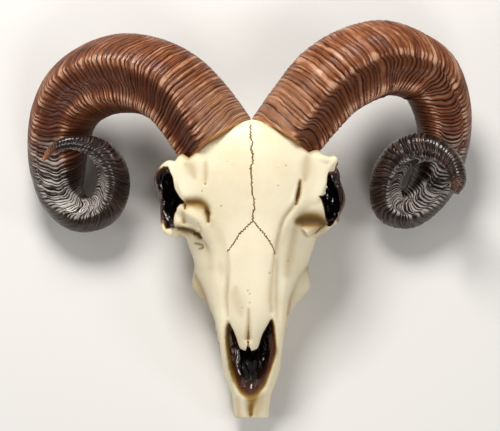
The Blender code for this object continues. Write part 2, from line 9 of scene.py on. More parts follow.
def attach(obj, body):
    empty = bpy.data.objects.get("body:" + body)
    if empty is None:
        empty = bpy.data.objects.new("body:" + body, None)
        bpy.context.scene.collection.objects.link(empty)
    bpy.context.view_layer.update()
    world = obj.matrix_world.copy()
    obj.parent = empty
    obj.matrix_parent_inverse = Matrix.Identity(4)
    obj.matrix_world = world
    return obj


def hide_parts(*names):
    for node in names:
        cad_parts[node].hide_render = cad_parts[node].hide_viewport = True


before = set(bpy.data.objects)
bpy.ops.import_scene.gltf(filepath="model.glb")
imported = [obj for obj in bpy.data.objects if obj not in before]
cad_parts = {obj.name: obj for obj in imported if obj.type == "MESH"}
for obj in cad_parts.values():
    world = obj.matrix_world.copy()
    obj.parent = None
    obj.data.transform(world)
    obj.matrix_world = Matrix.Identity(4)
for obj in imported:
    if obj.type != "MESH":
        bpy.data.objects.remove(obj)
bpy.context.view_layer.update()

# ---------------------------------------------------------------- the skull's bones
# The real piece is one hollow casting of filled resin, taken from a modelled ram's skull. Its bones are
# moulded here as one form in a face frame, in millimetres: x to the viewer's right, u up the face from
# the root of the nose, f out towards the viewer. They are parted along the sutures afterwards.

FACE_TILT = math.radians(16)        # slope of the face above the floor, nose down
FLOOR_DEPTH = 109.0                 # mm from the root of the nose down to the floor
TO_REST = (Matrix.Diagonal((0.001, 0.001, 0.001, 1)) @ Matrix.Translation((1.55, -11.7, FLOOR_DEPTH))
           @ Matrix.Rotation(FACE_TILT, 4, "X"))
LEFT, RIGHT = 1, -1                 # the animal's sides: its left is the viewer's right, +x


def add_object(name, mesh):
    made = bpy.data.objects.new(name, mesh)
    bpy.context.scene.collection.objects.link(made)
    return made


def mesh_from(bm, name):
    bmesh.ops.recalc_face_normals(bm, faces=bm.faces)
    mesh = bpy.data.meshes.new(name)
    bm.to_mesh(mesh)
    bm.free()
    return mesh


def smooth_through(knots, values, at):
    """Values at the places in at, on a smooth curve through the values at the knots."""
    knots = np.asarray(knots, float)
    values = np.asarray(values, float)
    slopes = np.gradient(values, knots, axis=0)
    span = np.clip(np.searchsorted(knots, at, side="right") - 1, 0, len(knots) - 2)
    step = knots[span + 1] - knots[span]
    t = (at - knots[span]) / step
    shape = (-1,) + (1,) * (values.ndim - 1)
    t, step = t.reshape(shape), step.reshape(shape)
    return ((1 + 2 * t) * (1 - t) ** 2 * values[span] + t * (1 - t) ** 2 * step * slopes[span]
            + t * t * (3 - 2 * t) * values[span + 1] + t * t * (t - 1) * step * slopes[span + 1])


def loft(name, rings):
    """A closed solid through rings of equal point count."""
    bm = bmesh.new()
    rows = [[bm.verts.new(p) for p in ring] for ring in rings]
    for low, high in zip(rows, rows[1:]):
        for k in range(len(low)):
            following = (k + 1) % len(low)
            bm.faces.new((low[k], low[following], high[following], high[k]))
    bm.faces.new(list(reversed(rows[0])))
    bm.faces.new(rows[-1])
    return add_object(name, mesh_from(bm, name))


# Half sections of the head, from the ridge of the face round to the palate. At each height u up the face
# the ten (x, f) points are: middle, mid plate, edge of the nasal plate, gutter beside it, cheek,
# crest or orbit margin, cheek-tooth bulge, outer gum, inner gum, middle of the palate.
HEAD_SECTIONS = {
    -177: [(0, -44), (5, -43.5), (9, -43), (11, -43.3), (13, -44.5), (14.8, -47), (14.5, -50),
           (11.5, -52), (6, -52.5), (0, -52)],
    -168: [(0, -41), (6, -40), (10, -39.5), (12.5, -40), (14.8, -41.5), (16, -45), (15.6, -49),
           (12, -53), (6, -54), (0, -53.5)],
    -155: [(0, -36), (7, -35), (11, -34.5), (14, -35), (16.0, -37), (17.5, -41), (17.2, -48),
           (13.5, -54.5), (7, -56.5), (0, -56)],
    -140: [(0, -28.5), (9, -28), (14, -28), (18, -28.8), (21, -31), (23.2, -36.5), (23.2, -47),
           (16.5, -57), (8, -60.5), (0, -59.5)],
    -118: [(0, -18), (11, -18), (18, -18.2), (22, -19.5), (25, -22.5), (26.6, -30), (26.6, -46),
           (21.5, -61.5), (12, -66.5), (0, -64.5)],
    -96: [(0, -11), (11, -11.3), (19, -12.5), (23.5, -15), (27.5, -18.5), (30, -27), (30.4, -48),
          (26, -68.5), (16.5, -73.5), (0, -69)],
    -80: [(0, -7.8), (11, -8.3), (19.3, -9.8), (22.5, -13.8), (28, -17), (33.5, -27), (38, -57),
          (33, -75), (22, -79.5), (0, -73)],
    -64: [(0, -5), (11, -5.5), (19.5, -7), (22.5, -11.5), (30, -15.5), (38.5, -29), (51.5, -60),
          (41, -81), (25, -85), (0, -76.5)],
    -43: [(0, -2.3), (11, -2.8), (20, -4.5), (23.5, -9.5), (33, -15), (46, -32), (50, -57),
          (42, -86.5), (26, -90), (0, -81)],
    -26: [(0, -0.5), (11, -1), (20, -3), (25, -7), (37, -14), (54, -36), (52, -56),
          (40, -91), (25, -94), (0, -85)],
    -8: [(0, 1.5), (12, 1), (22, -0.5), (30, -3), (42, -10), (58, -26), (52, -52),
         (36, -90), (23, -97), (0, -90)],
    12: [(0, 5), (14, 4.5), (27, 2.5), (38, 0), (49, -3), (59, -8), (52, -26),
         (34, -62), (22, -96), (0, -94)],
    30: [(0, 8), (14, 7.5), (28, 5.5), (41, 2), (54, -3), (65.5, -9), (54, -26),
         (36, -58), (22, -93), (0, -94)],
    46: [(0, 9), (14, 8.5), (28, 6.5), (42, 2), (55, -4), (66, -12), (55, -30),
         (38, -56), (22, -88), (0, -91)],
    62: [(0, 7.5), (12, 7), (24, 5), (35, 0), (45, -7), (53, -18), (48, -36),
         (36, -56), (21, -82), (0, -86)],
    76: [(0, 3), (9, 2.5), (18, 0), (27, -5), (34, -13), (39, -24), (38, -40),
         (30, -56), (17, -74), (0, -78)],
    84: [(0, -3), (7, -3.5), (14, -6), (21, -11), (26, -19), (29, -29), (27, -42),
         (21, -54), (12, -65), (0, -68)],
}
HEAD_STEP = 2.0                     # mm between rings along the face
SECTION_STEPS = 8                   # points between two named points of a section


def head_form():
    heights = np.array(sorted(HEAD_SECTIONS), float)
    sections = np.array([HEAD_SECTIONS[int(u)] for u in heights], float)
    rings = []
    for u in np.arange(heights[0], heights[-1] + 0.1, HEAD_STEP):
        half = smooth_through(heights, sections, np.array([u]))[0]
        around = np.vstack([half, half[-2:0:-1] * (-1, 1)])
        looped = np.vstack([around[-2:], around, around[:3]])
        places = np.arange(2, 2 + len(around), 1 / SECTION_STEPS)
        rings.append([(x, u, f) for x, f in smooth_through(np.arange(len(looped)), looped, places)])
    return loft("head_form", rings)


# ---------------------------------------------------------------- the nasal plate
# The long plate over the nose, with two points at its lower end. It is moulded with the skull, and parted
# from it later with a blade of its own outline.

# The plate from its upper end, the point of the suture's V: height u, half width, depth of its ridge.
NASAL_PLATE = [(-3.5, 1.5, 1.6), (-10, 6.2, 1.4), (-20, 13.5, 0.8), (-31, 20.0, 0.0), (-45, 20.2, -1.8),
               (-62, 19.5, -3.9), (-78, 19.2, -6.3), (-87, 18.8, -8.2), (-92, 17.0, -9.4),
               (-101, 12.4, -12.0), (-108, 10.0, -14.6), (-113, 8.6, -16.6), (-115.6, 6.6, -17.8),
               (-116.8, 3.4, -18.4)]
NASAL_CROWN = 3.2                   # mm that the plate's edge lies below its ridge
NASAL_THICKNESS = 6.5
NASAL_DRIFT = -2.4                  # mm that the plate's tip lies to the viewer's left of the middle
NASAL_DRIFT_STRETCH = (-60, -100)   # heights u between which it comes to do so
NASAL_NOTCH = [(-7.0, -121), (-5.3, -116.6), (-3.9, -112.6), (-2.9, -106.8), (-1.7, -112.4), (-0.2, -116.2),
               (1.8, -121)]


def plate_at(u):
    """Half width, ridge depth and middle of the nasal plate at each of the heights u."""
    table = np.array(NASAL_PLATE[::-1], float)
    heights = table[:, 0]
    half, top = smooth_through(heights, table[:, 1:], np.clip(u, heights[0], heights[-1])).T
    start, end = NASAL_DRIFT_STRETCH
    return half, top, NASAL_DRIFT * np.clip((start - u) / (start - end), 0, 1)


def nasal_plate(name, rise=0.0):
    """The plate itself or, with rise, the space above it too."""
    rings = []
    heights = np.linspace(NASAL_PLATE[-1][0], NASAL_PLATE[0][0], 64)
    for u, half, top, middle in zip(heights, *plate_at(heights)):
        across = np.linspace(-1, 1, 17)
        upper = [(middle + k * half, u, top - NASAL_CROWN * k * k + rise) for k in across]
        lower = [(middle + k * half, u, top - NASAL_THICKNESS) for k in across[::-1]]
        rings.append(upper + lower)
    return loft(name, rings)


# ---------------------------------------------------------------- the orbits and the cheek arches
# The eye sockets: a cup of bone with a thick rim, the tear bone in front of it and the arch behind it. On
# the casting each is a closed hollow. The two differ a little, as on the real piece.

# The rim of each orbit, once round from its top corner: x, u, f and the rim's radius.
ORBIT_RIM = {
    LEFT: [(70.5, 47.5, -12, 4.2), (70.5, 38.5, -18, 3.2), (74, 28.5, -27, 3.4), (78.4, 15, -36, 3.6),
           (76, 5, -41, 3.6), (70, -3, -41, 3.8), (63.5, -7, -34, 4.2), (62, -1, -21, 4.4),
           (60, 8, -13, 3.6), (60, 18, -11, 3.0), (61.5, 27, -11, 3.0), (63.5, 37, -12, 3.4)],
    RIGHT: [(-69, 43.5, -14, 4.2), (-77, 38.5, -20, 4.0), (-80.8, 30, -27, 3.8), (-77.5, 18, -35, 3.4),
            (-76.5, 7, -39, 3.4), (-76, -4, -41, 3.6), (-73.5, -12.5, -39, 4.2), (-65.5, -14.5, -33, 4.6),
            (-62.5, -5, -22, 4.8), (-61, 5, -15, 4.0), (-62, 17, -12, 3.0), (-66, 31, -11, 3.2)],
}
CHEEK_ARCH = [(71, -6, -44, 5.2), (73, 6, -51, 5.0), (71, 20, -61, 5.0), (64, 32, -68, 5.5),
              (52, 41, -72, 7.0), (40, 44, -72, 7.0)]
CHEEK_FOOT = [(68, -7, -41, 4.4), (60, -11.5, -41, 5.0), (50, -18, -43, 6.5), (42, -30, -46, 7.0)]
TEAR_BONE = [(62, -2, -20, 5.0), (55, -6, -18, 6.5), (45, -14, -17, 7.0)]
# The bone behind each eye, as two lumps for +x: centre and radii.
ORBIT_CUP = [((45, 14, -35), (33.5, 35, 31)), ((62, 33, -32), (15, 15, 15))]
ORBIT_CENTRE = (66, 14, -27)
ORBIT_RADII = (36, 23, 15.5)
ORBIT_TURN = -35                    # degrees, from straight sideways towards the viewer
# The dark opening of each orbit as the viewer sees it, from its top corner down the nose side.
ORBIT_OPENING = {
    LEFT: [(73.7, 45.0), (72.2, 41.4), (71.6, 38.0), (65.8, 36.2), (64.9, 32.2), (65.2, 27.4), (66.7, 20.2),
           (60.4, 16.5), (57.6, 16.8), (59.8, 14.1), (61.6, 8.1), (63.1, 2.0), (64.0, -4.0), (67.0, -6.5),
           (70.6, -4.0), (74.6, 2.0), (77.6, 8.1), (80.0, 14.1), (79.2, 19.0), (76.7, 26.2), (75.5, 32.2),
           (74.9, 38.3)],
    RIGHT: [(-75.4, 42.0), (-71.8, 41.4), (-69.9, 37.0), (-67.5, 32.8), (-66.6, 26.2), (-65.6, 22.0),
            (-62.0, 16.5), (-57.8, 10.8), (-60.8, 9.9), (-64.2, 6.9), (-66.0, 2.0), (-67.2, -2.2),
            (-67.5, -6.5), (-66.2, -10.7), (-69.4, -10.9), (-74.4, -11.3), (-77.4, -3.9), (-78.2, 5.1),
            (-78.9, 17.7), (-81.2, 26.3), (-82.6, 31.0), (-81.4, 36.4), (-78.4, 39.5)],
}
ORBIT_OPENING_DEPTHS = (-70, 14)    # f between which the opening's cutter stands
ORBIT_WALLS = (5, 10)               # mm behind the rim at which it is drawn again, as the orbit's wall
ORBIT_WALL_DRAFT = 0.15             # how much each wall steps inwards for its depth
ORBIT_FLOOR = (58, 14, -27)         # a point, for +x, of the plane down to which the opening is cut
ORBIT_FLOOR_SLOPE = (-0.3, 0.38)    # the rise of that plane outwards and up the face
TEAR_KNOB = ((-61.6, -3, -19), (6.2, 10.5, 7.5))
WELD = 1e-4                         # mm within which two points are one
BROW_CORNER = [(48, 50, -9, 5.5), (59, 48.2, -9.5, 4.6), (70.4, 46.6, -11.5, 3.0)]


def cut_flat(obj, point, normal):
    """Cuts away what lies on the normal's side of a plane, and closes the cut with flat faces."""
    bm = bmesh.new()
    bm.from_mesh(obj.data)
    found = bmesh.ops.bisect_plane(bm, geom=bm.verts[:] + bm.edges[:] + bm.faces[:], dist=WELD,
                                   plane_co=point, plane_no=normal, clear_outer=True)
    edges = [item for item in found["geom_cut"] if isinstance(item, bmesh.types.BMEdge)]
    bmesh.ops.holes_fill(bm, edges=edges, sides=0)
    obj.data = mesh_from(bm, obj.name)
    return obj


def evaluated_mesh(obj):
    """The mesh that the object's curve or modifiers make."""
    bpy.context.view_layer.update()
    return bpy.data.meshes.new_from_object(obj.evaluated_get(bpy.context.evaluated_depsgraph_get()))


def lump(name, centre, radii, turn=(0.0, 0.0, 0.0)):
    """An ellipsoid of bone."""
    bm = bmesh.new()
    bmesh.ops.create_uvsphere(bm, u_segments=64, v_segments=40, radius=1)
    place = Matrix.Translation(centre)
    for axis, angle in zip("XYZ", turn):
        place = place @ Matrix.Rotation(math.radians(angle), 4, axis)
    bm.transform(place @ Matrix.Diagonal((*radii, 1)))
    return add_object(name, mesh_from(bm, name))


def prism(name, outline, low, high):
    """A flat outline of (x, u) points, standing from depth low to depth high."""
    bm = bmesh.new()
    bottom = bm.faces.new([bm.verts.new((x, u, low)) for x, u in outline])
    made = bmesh.ops.extrude_face_region(bm, geom=[bottom])["geom"]
    top = [item for item in made if isinstance(item, bmesh.types.BMVert)]
    bmesh.ops.translate(bm, vec=(0, 0, high - low), verts=top)
    return add_object(name, mesh_from(bm, name))


def drawn(name, points, closed=False, flat=False):
    """A curve straight from point to point: (x, u, f), then a radius and a tilt where they are given."""
    curve = bpy.data.curves.new(name, "CURVE")
    curve.dimensions = "2D" if flat else "3D"
    curve.use_fill_caps = not flat
    spline = curve.splines.new("POLY")
    spline.points.add(len(points) - 1)
    spline.use_cyclic_u = closed
    for target, (x, u, f, *rest) in zip(spline.points, points):
        target.co = (x, u, f, 1)
        target.radius, target.tilt = rest + [1, 0][len(rest):]
    return add_object(name, curve)


def as_solid(line):
    """Turns a drawn curve into the solid that its bevel gives."""
    name = line.name
    mesh = evaluated_mesh(line)
    bpy.data.objects.remove(line)
    bm = bmesh.new()
    bm.from_mesh(mesh)
    bmesh.ops.remove_doubles(bm, verts=bm.verts, dist=WELD)
    return add_object(name, mesh_from(bm, name))


def rod(name, route, closed=False, steps=8, sides=20):
    """A bar of bone along route, a list of (x, u, f, radius)."""
    points = np.asarray(route, float)
    if closed:
        points = np.vstack([points[-2:], points, points[:3]])
    first, last = (2, len(points) - 3) if closed else (0, len(points) - 1)
    places = np.linspace(first, last, steps * (last - first) + 1)
    fine = smooth_through(np.arange(len(points)), points, places)
    line = drawn(name, fine[:-1] if closed else fine, closed)
    line.data.bevel_depth = 1
    line.data.bevel_resolution = sides // 4 - 1
    return as_solid(line)


def on_side(side, route):
    """A route drawn for +x, put on the given side."""
    return [(side * x, *rest) for x, *rest in route]


def orbit_cup(side):
    return [lump("orbit_cup", (side * x, u, f), radii) for (x, u, f), radii in ORBIT_CUP]


def orbit_hollow(side):
    """The eye socket, a deep oval that opens sideways and forwards."""
    x, u, f = ORBIT_CENTRE
    return lump("orbit_hollow", (side * x, u, f), ORBIT_RADII, turn=(0, side * ORBIT_TURN, 0))


def orbit_floor(side, points):
    """Depth of the plane down to which an orbit's opening is cut, at each point."""
    x, u, f = ORBIT_FLOOR
    outwards, upwards = ORBIT_FLOOR_SLOPE
    return f + outwards * (side * points[:, 0] - x) + upwards * (points[:, 1] - u)


def orbit_opening(side):
    x, u, f = ORBIT_FLOOR
    outwards, upwards = ORBIT_FLOOR_SLOPE
    return cut_flat(prism("orbit_opening", ORBIT_OPENING[side], *ORBIT_OPENING_DEPTHS), (side * x, u, f),
                    Vector((side * outwards, upwards, -1)))


def cheek_bars(side):
    made = [
        rod("cheek_arch", on_side(side, CHEEK_ARCH)),
        rod("cheek_foot", on_side(side, CHEEK_FOOT)),
        rod("tear_bone", on_side(side, TEAR_BONE)),
        rod("orbit_rim", ORBIT_RIM[side], closed=True),
    ]
    for lower in ORBIT_WALLS:
        inwards = side * lower * ORBIT_WALL_DRAFT
        route = [(x - inwards, u, f - lower, radius) for x, u, f, radius in ORBIT_RIM[side]]
        made.append(rod("orbit_wall", route, closed=True))
    made.append(rod("brow_corner", BROW_CORNER) if side == LEFT else lump("tear_knob", *TEAR_KNOB))
    return made


# ---------------------------------------------------------------- the skull's base and the cheek teeth
# The braincase with the nape, the condyles, the jaw joints and the processes beside them, and the two rows
# of upper cheek teeth, each tooth a column of 1 or 2 lobes. The casting lies on the teeth and the processes.


def face_point(x, y, z):
    """A point of the resting frame, measured from the root of the nose, in the face frame."""
    cos, sin = math.cos(FACE_TILT), math.sin(FACE_TILT)
    return (x, y * cos + z * sin, z * cos - y * sin)


def skull_base():
    """The braincase and the bones under it, placed in the resting frame."""
    made = [
        lump("braincase", face_point(0, 48, -44), (39, 44, 38)),
        lump("nape", face_point(0, 80, -50), (35, 15, 40)),
        rod("base_bar", [(*face_point(0, 88, -88), 10), (*face_point(0, 60, -92), 10),
                         (*face_point(0, 25, -88), 9), (*face_point(0, 5, -84), 8)]),
    ]
    for side in (LEFT, RIGHT):
        made.append(lump("condyle", face_point(side * 14, 91, -84), (10, 11, 13)))
        made.append(lump("jaw_joint", (side * 46, 43, -73), (15, 9, 8)))
        made.append(rod("ear_process", [(*face_point(side * 31, 76, -62), 9),
                                        (*face_point(side * 31, 78, -88), 7),
                                        (*face_point(side * 29, 78, -114), 4.5)]))
        made.append(lump("bulla", face_point(side * 24, 62, -92), (9, 13, 10)))
        made.append(rod("wing_plate", [(*face_point(side * 20, 2, -88), 5),
                                       (*face_point(side * 18, 14, -94), 4),
                                       (*face_point(side * 17, 24, -98), 3)]))
    return made


# Cheek teeth from the front one back: length along the row and breadth.
CHEEK_TEETH = [(8.5, 9), (10, 10.5), (11, 12), (14, 13.5), (16.5, 14), (17.5, 13)]
TOOTH_ROW_FRONT = -88.0             # mm from the root of the nose, along the floor
TOOTH_ROW_HALF_GAUGE = (25.5, 34.0)  # mm from the middle to the row's centre, at its front and back
TOOTH_HEIGHT = 26.0
TOOTH_TURN = 6.0                    # degrees that each row spreads backwards
MOLAR_LENGTH = 12.0                 # mm above which a tooth has two lobes
LOBE_OVERLAP = {1: 0.93, 2: 1.06}   # length of a lobe as a share of its room, for one and for two lobes


def column(name, centre, size, turn=0.0, top=1.0):
    """An oval column that stands upright in the resting frame, its upper end scaled by top."""
    bm = bmesh.new()
    bmesh.ops.create_cone(bm, cap_ends=True, segments=28, radius1=0.5, radius2=0.5 * top, depth=1)
    bm.transform(Matrix.Translation(centre) @ Matrix.Rotation(-FACE_TILT, 4, "X")
                 @ Matrix.Rotation(math.radians(turn), 4, "Z") @ Matrix.Diagonal((*size, 1)))
    return add_object(name, mesh_from(bm, name))


def cheek_teeth(side):
    made = []
    row_length = sum(length for length, _ in CHEEK_TEETH)
    front, back = TOOTH_ROW_HALF_GAUGE
    y = TOOTH_ROW_FRONT
    for length, breadth in CHEEK_TEETH:
        lobes = 2 if length > MOLAR_LENGTH else 1
        for lobe in range(lobes):
            middle = y + length * (lobe + 0.5) / lobes
            x = front + (back - front) * (middle - TOOTH_ROW_FRONT) / row_length
            centre = face_point(side * x, middle, TOOTH_HEIGHT / 2 - FLOOR_DEPTH - 3)
            size = (breadth, length / lobes * LOBE_OVERLAP[lobes], TOOTH_HEIGHT)
            made.append(column("cheek_tooth", centre, size, turn=-side * TOOTH_TURN, top=1.04))
        y += length
    return made


# ---------------------------------------------------------------- the nose and the other hollows
# What is carved out of the form: the nose's cavity under the plate, the palate, the throat, the hole for
# the spine, and the notches at the muzzle's tip, the plate's end and the crest.

# Outline of the nose opening, in the face frame, from its upper left corner downwards and round.
NOSE_OPENING = [(-20.5, -88), (-23.5, -96), (-24, -107), (-22, -124), (-20.5, -136), (-17, -147),
                (-9.5, -157.5), (-4, -161.5), (0.5, -162), (5, -159.5), (12.5, -150), (17.2, -136),
                (21, -124), (22.6, -115), (21.4, -104), (20, -92), (17.5, -84), (0, -78)]
NOSE_FLOOR = -49.0
NOSE_MIDDLE = (-1.5, -112.0)
# The nose cavity from its floor up past its rim: how far down it lies, and its size there.
NOSE_STEPS = [(1.0, 0.3), (0.85, 0.5), (0.6, 0.68), (0.3, 0.82), (0.12, 0.93), (0.0, 1.0), (-1.6, 1.02)]
PALATE_HOLLOW = [(0, -150, -62, 5), (0, -110, -74, 10), (0, -60, -88, 15), (0, -15, -101, 14)]
LIP_NOTCH = [(-3.0, -184), (-1.4, -178), (-0.6, -174.5), (0.4, -178), (2.0, -184)]
CREST_CUT = [(-17, 86), (-13, 77.0), (-6, 80.2), (0.4, 82.0), (6, 80.8), (13, 78.4), (17, 86), (17, 120),
             (-17, 120)]


def rim_depth(u):
    """Depth of the face's edge at the heights u."""
    heights = sorted(HEAD_SECTIONS)
    return np.interp(u, heights, [HEAD_SECTIONS[height][2][1] for height in heights])


def nose_space():
    outline = np.array(NOSE_OPENING, float)
    rims = rim_depth(outline[:, 1])
    rings = []
    for down, size in NOSE_STEPS:
        placed = NOSE_MIDDLE + (outline - NOSE_MIDDLE) * size
        rings.append([(x, u, rim + (NOSE_FLOOR - rim) * down) for (x, u), rim in zip(placed, rims)])
    return loft("nose_space", rings)


def hollows():
    made = [
        nose_space(),
        lump("nose_depth", (0, -92, -38), (19, 36, 17), turn=(14, 0, 0)),
        rod("palate_hollow", PALATE_HOLLOW),
        lump("throat", face_point(0, 22, -106), (13, 34, 13)),
        lump("spine_hole", face_point(0, 98, -76), (9, 14, 8)),
    ]
    return made + [orbit_hollow(side) for side in (LEFT, RIGHT)]


def fine_cuts():
    return [prism("lip_notch", LIP_NOTCH, -60, -30), prism("nasal_notch", NASAL_NOTCH, -30, 5),
            prism("crest_cut", CREST_CUT, -46, 20), orbit_opening(LEFT), orbit_opening(RIGHT)]


# Thin bones inside the nose that catch the light through the lacquer: x, u, f and radius.
NOSE_RIDGES = [
    [(-11.5, -112, -43, 2.2), (-11.8, -122, -43, 2.6), (-11.2, -134, -45, 2.8), (-8, -143, -47, 3.4)],
    [(15.2, -102, -24, 1.8), (17.0, -114, -27.5, 2.0), (16.4, -127, -31, 2.0), (12.2, -140, -36, 2.4),
     (6, -150, -42, 2.8)],
    [(6.5, -122, -47, 1.8), (6.8, -132, -47, 2.2), (3, -142, -48, 2.6)],
    [(-8, -144, -46, 3.6), (-3.5, -149, -46, 3.4), (-1, -157, -44, 2.6)],
    [(-11, -150, -43, 2.2), (-7, -155, -43, 2.2)],
]

# ---------------------------------------------------------------- the bone under the horns
# Each horn sits on a core of bone that grows out of the forehead. On the casting only its start shows, and
# the skull ends at the horn's base in a socket of the horn's own form.

# Each horn's middle line from the forehead to its tip: x, u, f, half width, and the turn of its front ridge.
HORN_COURSE = {
    RIGHT: [(-19, 48, -22, 35.0, 110), (-33.5, 69.5, -27, 35.7, 106), (-49.5, 91.5, -34, 35.4, 101),
            (-67.5, 109.5, -40, 35.6, 92), (-87, 120, -47, 35.8, 84), (-113, 124, -55, 36.6, 71),
            (-136, 119, -63, 35.3, 60), (-155, 107, -71, 33.3, 51), (-166, 91, -78, 31.0, 47),
            (-172, 67, -84, 29.0, 45), (-173, 41, -87, 26.0, 46), (-169, 18, -87, 21.3, 53),
            (-153, 2, -82, 17.2, 75), (-132, 6, -77, 15.8, 92), (-122, 26, -69, 15.0, 108),
            (-124, 45, -60, 13.4, 118), (-134, 58, -51, 10.8, 126), (-147, 63, -43, 7.9, 134),
            (-162, 63, -38, 5.7, 148), (-173, 58, -36, 3.9, 162), (-181, 48, -34, 1.4, 175)],
    LEFT: [(17, 51, -22, 32.5, 102), (32, 72, -27, 33.4, 100), (49, 94, -34, 34.8, 98),
           (68, 115, -41, 36.3, 95), (90, 129, -48, 36.6, 90), (115, 137, -56, 35.4, 82),
           (138.7, 133, -64, 32.2, 72), (156, 124, -71, 30.2, 65), (165.5, 108, -77, 28.6, 58),
           (171, 90, -83, 26.8, 50), (172, 72, -86, 25.2, 46), (169, 53, -87, 24.0, 44),
           (163, 32, -87, 22.6, 48), (152, 15, -86, 20.0, 56), (139, 5, -84, 17.6, 68),
           (124.5, 8, -80, 16.6, 82), (119, 23.5, -74, 14.8, 94), (122, 40, -67, 14.4, 105),
           (131.5, 53, -60, 14.2, 116), (149, 60, -51, 13.4, 130), (166, 55, -44, 10.8, 146),
           (177, 42, -37, 9.0, 160), (179, 28, -33, 7.2, 170), (176, 20, -31, 4.2, 178)],
}
# The horn's section, round from its front ridge: angle and share of the half width.
HORN_SECTION = [(0, 1.015), (8, 0.985), (18, 0.91), (32, 0.870), (46, 0.91), (55, 1.0), (60, 1.02),
                (68, 0.98), (85, 0.93), (120, 0.94), (160, 0.99), (215, 0.94), (265, 1.0), (290, 0.985),
                (315, 0.960), (340, 0.975), (352, 1.0), (360, 1.015)]
# The plane of each horn's base: a point on it and its outward direction, for +x.
HORN_BASE = {LEFT: (33, 66.5, 4), RIGHT: (33, 65.0, 4)}
HORN_BASE_OUT = Vector((0.53, 0.82, -0.21)).normalized()
HORN_GAP = 0.5                      # mm kept from the skull's middle plane
HORN_CORE = 0.88                    # thickness of the bone under the horn, as a share of the horn's
HORN_CORE_START = 0.86              # the share of that thickness which the core starts with in the forehead
HORN_SOCKET = 1.02                  # thickness of the room that the skull leaves round the horn, likewise
HORN_SIDES_BARE = 72                # points round the core and the socket
PARTING = 0.3                       # mm between the horn and the bone


def horn_base(side):
    """The point and the outward direction of a horn's base plane."""
    x, u, f = HORN_BASE[side]
    out = Vector((side * HORN_BASE_OUT.x, HORN_BASE_OUT.y, HORN_BASE_OUT.z))
    return Vector((side * x, u, f)), out


def horn_path(name, side, thickness=1.0, start=1.0, rings=160):
    """The horn's middle line as a curve, with its half width as radius and its front ridge's turn as tilt."""
    route = np.array(HORN_COURSE[side], float)
    route[:, 3] *= thickness
    route[0, 3] *= start
    route[:, 4] = side * np.radians(route[:, 4])
    steps = np.linalg.norm(np.diff(route[:, :3], axis=0), axis=1)
    knots = np.concatenate([[0], np.cumsum(steps)])
    line = drawn(name, smooth_through(knots, route, np.linspace(0, knots[-1], rings)))
    line.data.twist_mode = "Z_UP"
    return line


def smooth_horn(name, side, thickness, start=1.0):
    """The horn's bare form, for the bone under it and for the room that the skull leaves it."""
    angles, shares = np.array(HORN_SECTION, float).T
    around = np.arange(HORN_SIDES_BARE) * 360 / HORN_SIDES_BARE
    radius, turn = np.interp(around, angles, shares), np.radians(around)
    corners = np.column_stack([-side * radius * np.cos(turn), -radius * np.sin(turn), 0 * turn])
    section = drawn("section", corners, closed=True, flat=True)
    path = horn_path(name, side, thickness, start)
    path.data.bevel_mode = "OBJECT"
    path.data.bevel_object = section
    solid = as_solid(path)
    bpy.data.objects.remove(section)
    return solid


def horn_core(side):
    point, out = horn_base(side)
    core = smooth_horn("horn_core", side, HORN_CORE, HORN_CORE_START)
    return cut_flat(cut_flat(core, point, out), (0, 0, 0), (-side, 0, 0))


def horn_socket(side):
    point, out = horn_base(side)
    return cut_flat(smooth_horn("horn_socket", side, HORN_SOCKET), point - out * PARTING, -out)


GRAIN = 1.0  # mm, fineness of the moulded bone
CUTTER_GRAIN = 0.8 * GRAIN          # mm, fineness of what is carved out
SMOOTHING = 4                       # passes that take the grid's steps off, on a grain of 1.8 mm


def with_modifier(obj, kind, **settings):
    """Gives the object a modifier and bakes it in."""
    step = obj.modifiers.new(kind, kind)
    for setting, value in settings.items():
        setattr(step, setting, value)
    mesh = evaluated_mesh(obj)
    obj.modifiers.clear()
    obj.data = mesh
    return obj


def moulded(obj, grain):
    """Melts the object's overlapping pieces into one skin, on a grid of this many millimetres."""
    return with_modifier(obj, "REMESH", mode="VOXEL", voxel_size=grain)


def combine(obj, tool, operation="DIFFERENCE", solver="MANIFOLD", keep_tool=False):
    with_modifier(obj, "BOOLEAN", operation=operation, object=tool, solver=solver)
    if not keep_tool:
        bpy.data.objects.remove(tool)
    return obj


def join(name, pieces):
    bm = bmesh.new()
    for piece in pieces:
        bm.from_mesh(piece.data)
        bpy.data.objects.remove(piece)
    return add_object(name, mesh_from(bm, name))


def carve(whole, cutters):
    return combine(whole, moulded(join("cutter", cutters), CUTTER_GRAIN))


def main_form():
    body = [head_form()] + skull_base()
    for side in (LEFT, RIGHT):
        body += orbit_cup(side)
        body.append(horn_core(side))
    whole = moulded(join("skull", body), GRAIN)
    carve(whole, hollows())
    ridges = [nasal_plate("nasal_plate")] + [rod("nose_ridge", route) for route in NOSE_RIDGES]
    for side in (LEFT, RIGHT):
        ridges += cheek_bars(side) + cheek_teeth(side)
    whole = moulded(join("skull", [whole] + ridges), GRAIN)
    with_modifier(whole, "SMOOTH", factor=0.5, iterations=round(SMOOTHING * (1.8 / GRAIN) ** 2))
    carve(whole, fine_cuts())
    return whole


skull = main_form()

# ---------------------------------------------------------------- the relief of the face
# Strokes of the modelling tool on the front of the skull: the hollows of the brows, the folds before the
# eyes, the grooves of the cheeks and the plate, and small holes for vessels.

